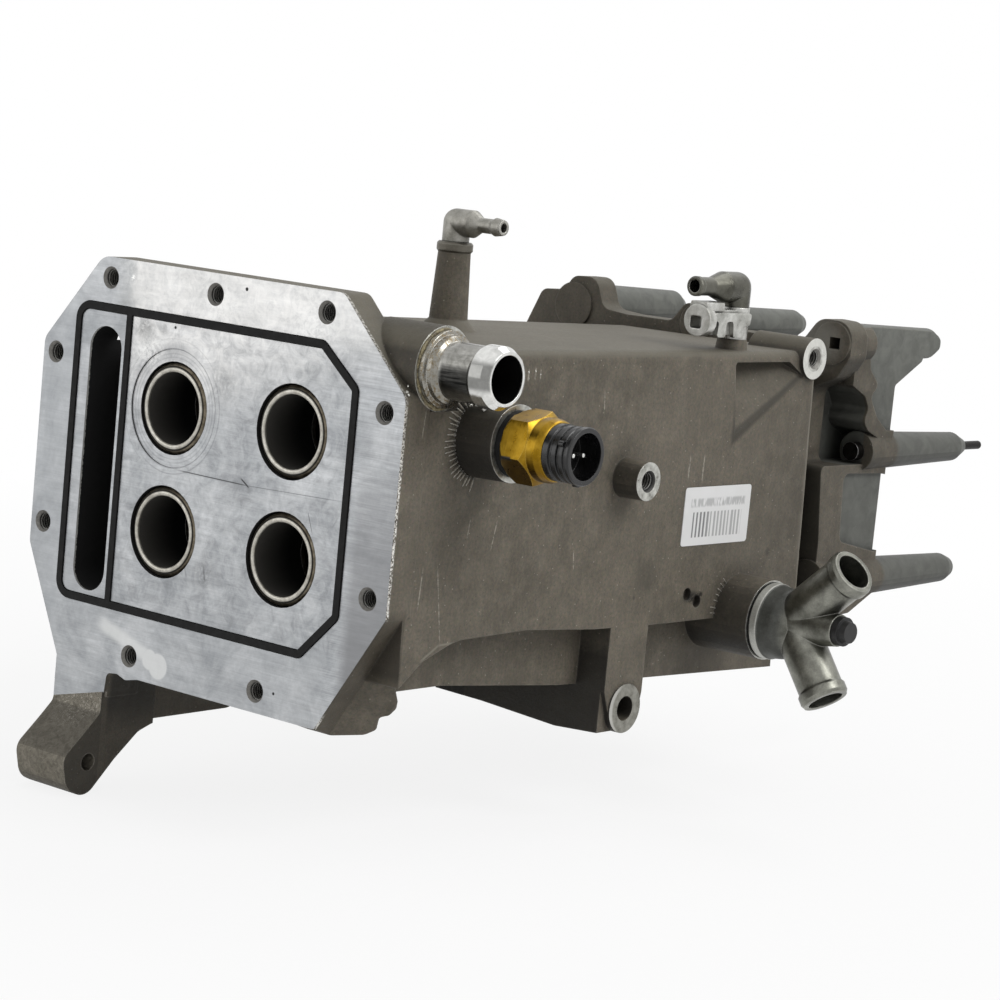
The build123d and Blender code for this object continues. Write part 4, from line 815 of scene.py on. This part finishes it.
CORE = steel("core_steel", srgb(120, 116, 108), srgb(70, 66, 60), 0.45, axis=1)
PORT = port_steel("port_steel")


def material_of(node):
    if node.startswith("port_sleeve"):
        return PORT
    return MATERIALS.get(node, SEAL if node.endswith(("seal", "seals")) else CORE)


for node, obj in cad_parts.items():
    obj.data.materials.clear()
    obj.data.materials.append(material_of(node))

# The casting's machined faces and bores have materials of their own, face by face
MILLED, TURNED, BORE = 1, 2, 3
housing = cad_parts["housing"].data
for material in (milled_face(), turned_faces(), bores()):
    housing.materials.append(material)
# (y, z), radius and x of each turned end
TURNED_ENDS = [
    (NIPPLE_AT, 16.4, NIPPLE_FACE_X), (SENSOR_AT, 15.8, SENSOR_FACE_X), (PLUG_BOSS_AT, 8.6, PLUG_BOSS_FACE_X),
    (TOP_BOSS_AT, 9.2, TOP_BOSS_FACE_X), (OUTLET_AT, 17.8, OUTLET_FACE_X), (LUG_AT, 10.6, LUG_FACE_X),
]


def is_turned(x, y, z):
    return any(abs(x - face) < 0.4 and math.dist((y, z), at) < radius for at, radius, face in TURNED_ENDS)


def is_bore(x, y, z, across):
    """True inside the slot, a port, a screw hole, the seal groove or a threaded boss."""
    in_slot = -82.5 < x < -63.8 and -55.6 < z < 52.5 and 0.0 < y < 27.0
    in_port = math.hypot(abs(x) - PORT_X, abs(z) - PORT_Z) < 20.4 and 0.4 < y < 27.0
    in_screw = 0.0 < y < 22.0 and any(math.dist((x, z), screw) < 4.6 for screw in FACE_SCREWS)
    in_groove = 0.05 < y < 3.1 and -92.0 < x < 70.0 and -62.0 < z < 62.0
    in_boss = across and x > 69.0 and any(math.dist((y, z), at) < 4.5 for at in (PLUG_BOSS_AT, TOP_BOSS_AT))
    return in_slot or in_port or in_screw or in_groove or in_boss


for polygon in housing.polygons:
    x, y, z = (c / MM for c in polygon.center)
    out = polygon.normal
    if out.y < -0.98 and y < 0.8 and z > -98.0:
        polygon.material_index = MILLED
    elif is_bore(x, y, z, abs(out.x) < 0.9):
        polygon.material_index = BORE
    elif out.x > 0.98 and is_turned(x, y, z):
        polygon.material_index = TURNED


# Small detail pieces in mesh code, all on the one body
def piece(name, points, faces, material, smooth=True):
    """A mesh object from points in millimetres."""
    mesh = bpy.data.meshes.new(name)
    mesh.from_pydata([[c * MM for c in point] for point in points], [], faces)
    mesh.validate()
    mesh.update()
    for polygon in mesh.polygons:
        polygon.use_smooth = smooth
    mesh.materials.append(material)
    made = bpy.data.objects.new(name, mesh)
    bpy.context.scene.collection.objects.link(made)
    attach(made, "root")
    return made


def frame_of(axis):
    """Two directions square to an axis of the row frame, so that (a, b, axis) is right-handed."""
    axis = Vector(axis)
    a = Vector((0, 0, 1)) if abs(axis.z) < 0.5 else Vector((1, 0, 0))
    a = (a - axis * a.dot(axis)).normalized()
    return a, axis.cross(a), axis


def sweep(points, faces, sections, closed):
    """Join rings of equal length into a closed band or a capped strip."""
    base = len(points)
    ring = len(sections[0])
    for section in sections:
        points.extend(tuple(point) for point in section)
    last = len(sections) if closed else len(sections) - 1
    for i in range(last):
        j = (i + 1) % len(sections)
        for k in range(ring):
            m = (k + 1) % ring
            faces.append((base + i * ring + k, base + j * ring + k, base + j * ring + m, base + i * ring + m))
    if not closed:
        faces.append(tuple(base + k for k in range(ring)))
        faces.append(tuple(base + (len(sections) - 1) * ring + k for k in reversed(range(ring))))


def threads(name, mouths, inward, root_r, crest_r, pitch, start, length, material):
    """Right-handed thread ridges inside tapped holes; each mouth is a point on a hole's axis."""
    points, faces = [], []
    a, b, axis = frame_of(inward)
    steps = 24
    for mouth in mouths:
        sections = []
        total = int(length / pitch * steps)
        for i in range(total + 1):
            turn = 2 * math.pi * i / steps
            fade = min(1.0, i / 10, (total - i) / 10)
            out = a * math.cos(turn) + b * math.sin(turn)
            at = Vector(mouth) + axis * (start + pitch * i / steps)
            crest = root_r + (crest_r - root_r) * fade
            sections.append(
                [
                    at + out * root_r - axis * pitch * 0.44,
                    at + out * crest - axis * pitch * 0.08,
                    at + out * crest + axis * pitch * 0.08,
                    at + out * root_r + axis * pitch * 0.44,
                ]
            )
        sweep(points, faces, sections, False)
    return piece(name, points, faces, material)


def rolled_lips(name, centres, radius, half_width, height, y, material):
    """Rounded lip on each gas port sleeve."""
    points, faces = [], []
    for x, z in centres:
        sections = []
        for i in range(96):
            turn = 2 * math.pi * i / 96
            section = []
            for k in range(9):
                bow = math.pi * k / 8
                r = radius + half_width * math.cos(bow)
                section.append((x + r * math.cos(turn), y - height * math.sin(bow), z + r * math.sin(turn)))
            foot = radius - half_width * 0.8
            section.append((x + foot * math.cos(turn), y + 0.3, z + foot * math.sin(turn)))
            sections.append(section)
        sweep(points, faces, sections, True)
    return piece(name, points, faces, material)


SERIES_END = 2147483648


def next_in_series(state):
    """The next number of a fixed series."""
    return (state * 1103515245 + 12345) % SERIES_END


def scallops(name, at, wall_x, radius, length, angles, tall, wide, seed, material):
    """Short tapered ridges that radiate from a boss, as a stepping cutter leaves them."""
    points, faces = [], []
    jitter = seed
    for angle in angles:
        jitter = next_in_series(jitter)
        wobble = jitter / SERIES_END - 0.5
        turn = math.radians(angle + wobble * 2.0)
        out = Vector((0, math.cos(turn), math.sin(turn)))
        side = Vector((0, -math.sin(turn), math.cos(turn)))
        reach = length * (1.0 + wobble * 0.5)
        sections = []
        for t, h, w in ((0.0, 1.0, 1.0), (0.3, 0.9, 0.9), (0.65, 0.55, 0.7), (1.0, 0.05, 0.25)):
            centre = Vector((wall_x - 0.25, *at)) + out * (radius + reach * t)
            crown = Vector((tall * h + 0.25, 0, 0))
            sections.append(
                [
                    centre - side * wide * w, centre - side * wide * w * 0.45 + crown * 0.8,
                    centre + crown, centre + side * wide * w * 0.45 + crown * 0.8, centre + side * wide * w,
                ]
            )
        sweep(points, faces, sections, False)
    return piece(name, points, faces, material)


def burrs(name, places, seed, material):
    """Torn flakes of bright metal: each place is a centre, a direction out of the surface and a size."""
    points, faces = [], []
    state = seed

    def draw():
        nonlocal state
        state = next_in_series(state)
        return state / SERIES_END - 0.5

    for centre, out, size in places:
        a, b, axis = frame_of(Vector(out).normalized())
        ring = []
        for k in range(6):
            turn = math.pi * k / 3 + draw() * 0.5
            r = size * (0.8 + draw() * 0.7)
            ring.append(Vector(centre) + a * r * math.cos(turn) + b * r * math.sin(turn) - axis * 0.3)
        rim = []
        for point in ring:
            rim.append(point + axis * size * (0.35 + draw() * 0.4) - (point - Vector(centre)) * 0.45)
        tip = Vector(centre) + axis * size * 0.55 + a * draw() * size
        base = len(points)
        points.extend(tuple(point) for point in ring + rim + [tip])
        for k in range(6):
            m = (k + 1) % 6
            faces.append((base + k, base + m, base + 6 + m, base + 6 + k))
            faces.append((base + 6 + k, base + 6 + m, base + 12))
        faces.append(tuple(base + k for k in reversed(range(6))))
    return piece(name, points, faces, material, smooth=False)


def sealant(name, at, x, radius, thick, seed, material):
    """Uneven bead of sealant squeezed out round the nipple's flange."""
    points, faces, sections = [], [], []
    for i in range(90):
        turn = 2 * math.pi * i / 90
        waves = 0.22 * math.sin(3 * turn + seed) + 0.2 * math.sin(7 * turn + 2 * seed)
        swell = thick * (0.62 + waves + 0.12 * math.sin(13 * turn))
        section = []
        for k in range(8):
            bow = 2 * math.pi * k / 8
            r = radius + swell * math.cos(bow)
            y, z = at[0] + r * math.cos(turn), at[1] + r * math.sin(turn)
            section.append((x + swell * 0.7 * math.sin(bow), y, z))
        sections.append(section)
    sweep(points, faces, sections, True)
    return piece(name, points, faces, material)


def worn_metal(name, light, dark, rough):
    """Fresh torn or cut aluminium, with a painted highlight on its edges."""
    g = Graph(name)
    round_normal, sharp = g.edge(0.15)
    cloud = g.noise(1.2, 4, 0.7)[0]
    g.base = g.mix(g.remap(cloud, 0.35, 0.65), dark, light)
    # Painted highlight on sharp edges
    g.paint(g.mul(sharp, 0.5), srgb(240, 240, 236))
    normal = g.bump(g.noise(0.4, 3, 0.6, shift=3)[0], 0.08, round_normal)
    return g.finish(g.remap(cloud, 0.3, 0.7, rough, rough + 0.15), 0.8, normal)


def sealant_film():
    g = Graph("sealant_film")
    cloud = g.noise(1.6, 4, 0.7, warp=1.0)[0]
    g.base = g.mix(g.remap(cloud, 0.38, 0.62), srgb(70, 60, 38), srgb(150, 140, 108))
    return g.finish(g.remap(cloud, 0.3, 0.7, 0.35, 0.6), 0.1, g.bump(cloud, 0.12))


thread_metal = worn_metal("thread_metal", srgb(92, 90, 85), srgb(28, 27, 25), 0.45)
torn_metal = worn_metal("torn_metal", srgb(226, 225, 220), srgb(150, 148, 141), 0.3)
comb_metal = worn_metal("comb_metal", srgb(140, 135, 124), srgb(100, 95, 85), 0.5)
face_mouths = [(x, 0.0, z) for x, z in FACE_SCREWS]
boss_mouths = [(PLUG_BOSS_FACE_X, *PLUG_BOSS_AT), (TOP_BOSS_FACE_X, *TOP_BOSS_AT)]
# An M8 thread, in millimetres
M8 = dict(root_r=3.45, crest_r=3.02, pitch=1.25, start=1.5, material=thread_metal)
threads("face_threads", face_mouths, (0, 1, 0), length=11.0, **M8)
threads("boss_threads", boss_mouths, (-1, 0, 0), length=10.0, **M8)
PORTS = [(sx * PORT_X, sz * PORT_Z) for sx in (-1, 1) for sz in (-1, 1)]
rolled_lips("port_lips", PORTS, 15.32, 0.84, 0.42, 0.42, port_steel("lip_steel", lip=True))
sensor_angles = [112 + 6.4 * k for k in range(24)]
outlet_angles = [128 + 8.0 * k for k in range(7)]
scallops("sensor_boss_comb", SENSOR_AT, SIDE_X, 15.6, 4.6, sensor_angles, 0.9, 0.75, 7, comb_metal)
scallops("outlet_boss_comb", OUTLET_AT, SIDE_X, 17.5, 2.6, outlet_angles, 0.6, 0.6, 19, comb_metal)
burrs(
    "boss_burrs",
    [
        ((93.5, 35.2, 43.4), (0.3, -0.6, 0.7), 1.5), ((95.4, 36.4, 43.6), (0.3, -0.5, 0.8), 1.7),
        ((97.6, 37.0, 43.2), (0.2, -0.6, 0.8), 1.3), ((99.2, 38.6, 43.9), (0.2, -0.4, 0.9), 1.6),
        ((101.4, 39.6, 44.0), (0.2, -0.4, 0.9), 1.1), ((103.0, 41.0, 44.2), (0.2, -0.3, 0.9), 1.3),
        ((91.2, 33.6, 42.6), (0.5, -0.6, 0.6), 1.2), ((96.8, 35.0, 41.9), (0.2, -0.8, 0.5), 1.0),
    ],
    5,
    torn_metal,
)
burrs(
    "wall_nicks",
    [
        ((SIDE_X, y, z), (1, 0, 0), size)
        for y, z, size in (
            (0.8, 47.5, 0.9), (1.9, 46.2, 0.7), (1.0, 49.6, 0.6), (70.6, 54.2, 0.8),
            (70.9, 51.8, 0.7), (74.8, 54.6, 0.7), (78.0, 53.4, 0.6), (64.0, 55.6, 0.5),
        )
    ],
    11,
    torn_metal,
)
sealant("nipple_sealant", NIPPLE_AT, NIPPLE_FACE_X + 0.1, 14.8, 1.1, 0.7, sealant_film())


# Floor, camera and light
def floor_material():
    """Pale paper that fades to plain white away from the object; the shadow near the object stays."""
    g = Graph("floor_paper")
    grain = g.noise(4.0, 2, 0.5)[0]
    g.base = g.mix(grain, (0.86, 0.86, 0.86), (0.9, 0.9, 0.9))
    g.finish(0.8, 0.0)
    path = g.node("ShaderNodeLightPath")
    emit = g.node("ShaderNodeEmission")
    emit.inputs["Color"].default_value = (1, 1, 1, 1)
    rays = ("Is Camera Ray", "Is Glossy Ray", "Is Transmission Ray")
    seen = g.top(*(path.outputs[ray] for ray in rays))
    along = g.sub(g.y, 150.0)
    away = g.m("SQRT", g.add(g.mul(g.x, g.x), g.mul(along, along)))
    white = g.remap(away, 260.0, 900.0)
    mix = g.node("ShaderNodeMixShader")
    g.put(mix.inputs[0], g.mul(seen, g.remap(white, 0.0, 1.0, 0.86, 1.0)))
    g.link(g.bsdf.outputs[0], mix.inputs[1])
    g.link(emit.outputs[0], mix.inputs[2])
    g.link(mix.outputs[0], g.out.inputs[0])
    return g.mat


FLOOR_GAP = 0.0005
floor_z = cad_box[0][2] - FLOOR_GAP
half = 30.0
corners = [(-half, -half), (half, -half), (half, half), (-half, half)]
floor_mesh = bpy.data.meshes.new("floor")
floor_mesh.from_pydata([(x, y, floor_z) for x, y in corners], [], [(0, 1, 2, 3)])
floor_mesh.materials.append(floor_material())
floor = bpy.data.objects.new("floor", floor_mesh)
bpy.context.scene.collection.objects.link(floor)

CAMERA_AT = (0.8005, -0.8168, 0.1541)
CAMERA_TURN = (
    (0.764646, 0.637278, 0.095884),
    (-0.157214, 0.040171, 0.986747),
    (0.624980, -0.769587, 0.130906),
)
camera_data = bpy.data.cameras.new("camera")
camera = bpy.data.objects.new("camera", camera_data)
bpy.context.scene.collection.objects.link(camera)
camera_data.sensor_width = 36.0
camera_data.lens = 106.7
camera_data.clip_end = 60.0
# The camera as solved from the front face and the side wall, in metres
camera.matrix_world = Matrix.Translation(CAMERA_AT) @ Matrix(CAMERA_TURN).transposed().to_4x4()
bpy.context.scene.camera = camera


MIDDLE = (0.0, 0.15, 0.0)


def area_light(name, place, size, power):
    """A rectangular lamp that looks at the middle of the part."""
    data = bpy.data.lights.new(name, "AREA")
    data.shape = "RECTANGLE"
    data.size, data.size_y = size
    data.energy = power
    lamp = bpy.data.objects.new(name, data)
    bpy.context.scene.collection.objects.link(lamp)
    lamp.location = place
    lamp.rotation_euler = (Vector(MIDDLE) - Vector(place)).to_track_quat("-Z", "Y").to_euler()


area_light("key", (1.5, 0.4, 1.3), (0.9, 0.9), 17.0)
area_light("front_sheen", (-1.1, -1.5, 0.5), (1.2, 1.2), 5.0)
area_light("top_back", (0.2, 1.2, 1.6), (1.4, 0.8), 9.0)

# White to the camera and in glossy surfaces, softer as light on the part
SKY_ON_PART, SKY_SEEN = 0.4, 1.0
world = bpy.data.worlds.new("world")
bpy.context.scene.world = world
world.use_nodes = True
tree = world.node_tree
background = tree.nodes["Background"]
path = tree.nodes.new("ShaderNodeLightPath")
seen = tree.nodes.new("ShaderNodeMath")
seen.operation = "MAXIMUM"
tree.links.new(path.outputs["Is Camera Ray"], seen.inputs[0])
shiny = tree.nodes.new("ShaderNodeMath")
shiny.operation = "MAXIMUM"
tree.links.new(path.outputs["Is Transmission Ray"], shiny.inputs[0])
tree.links.new(path.outputs["Is Glossy Ray"], shiny.inputs[1])
tree.links.new(shiny.outputs[0], seen.inputs[1])
level = tree.nodes.new("ShaderNodeMapRange")
level.inputs["To Min"].default_value = SKY_ON_PART
level.inputs["To Max"].default_value = SKY_SEEN
tree.links.new(seen.outputs[0], level.inputs["Value"])
tree.links.new(level.outputs[0], background.inputs["Strength"])
background.inputs["Color"].default_value = (1, 1, 1, 1)
bpy.context.scene.view_settings.view_transform = "Standard"
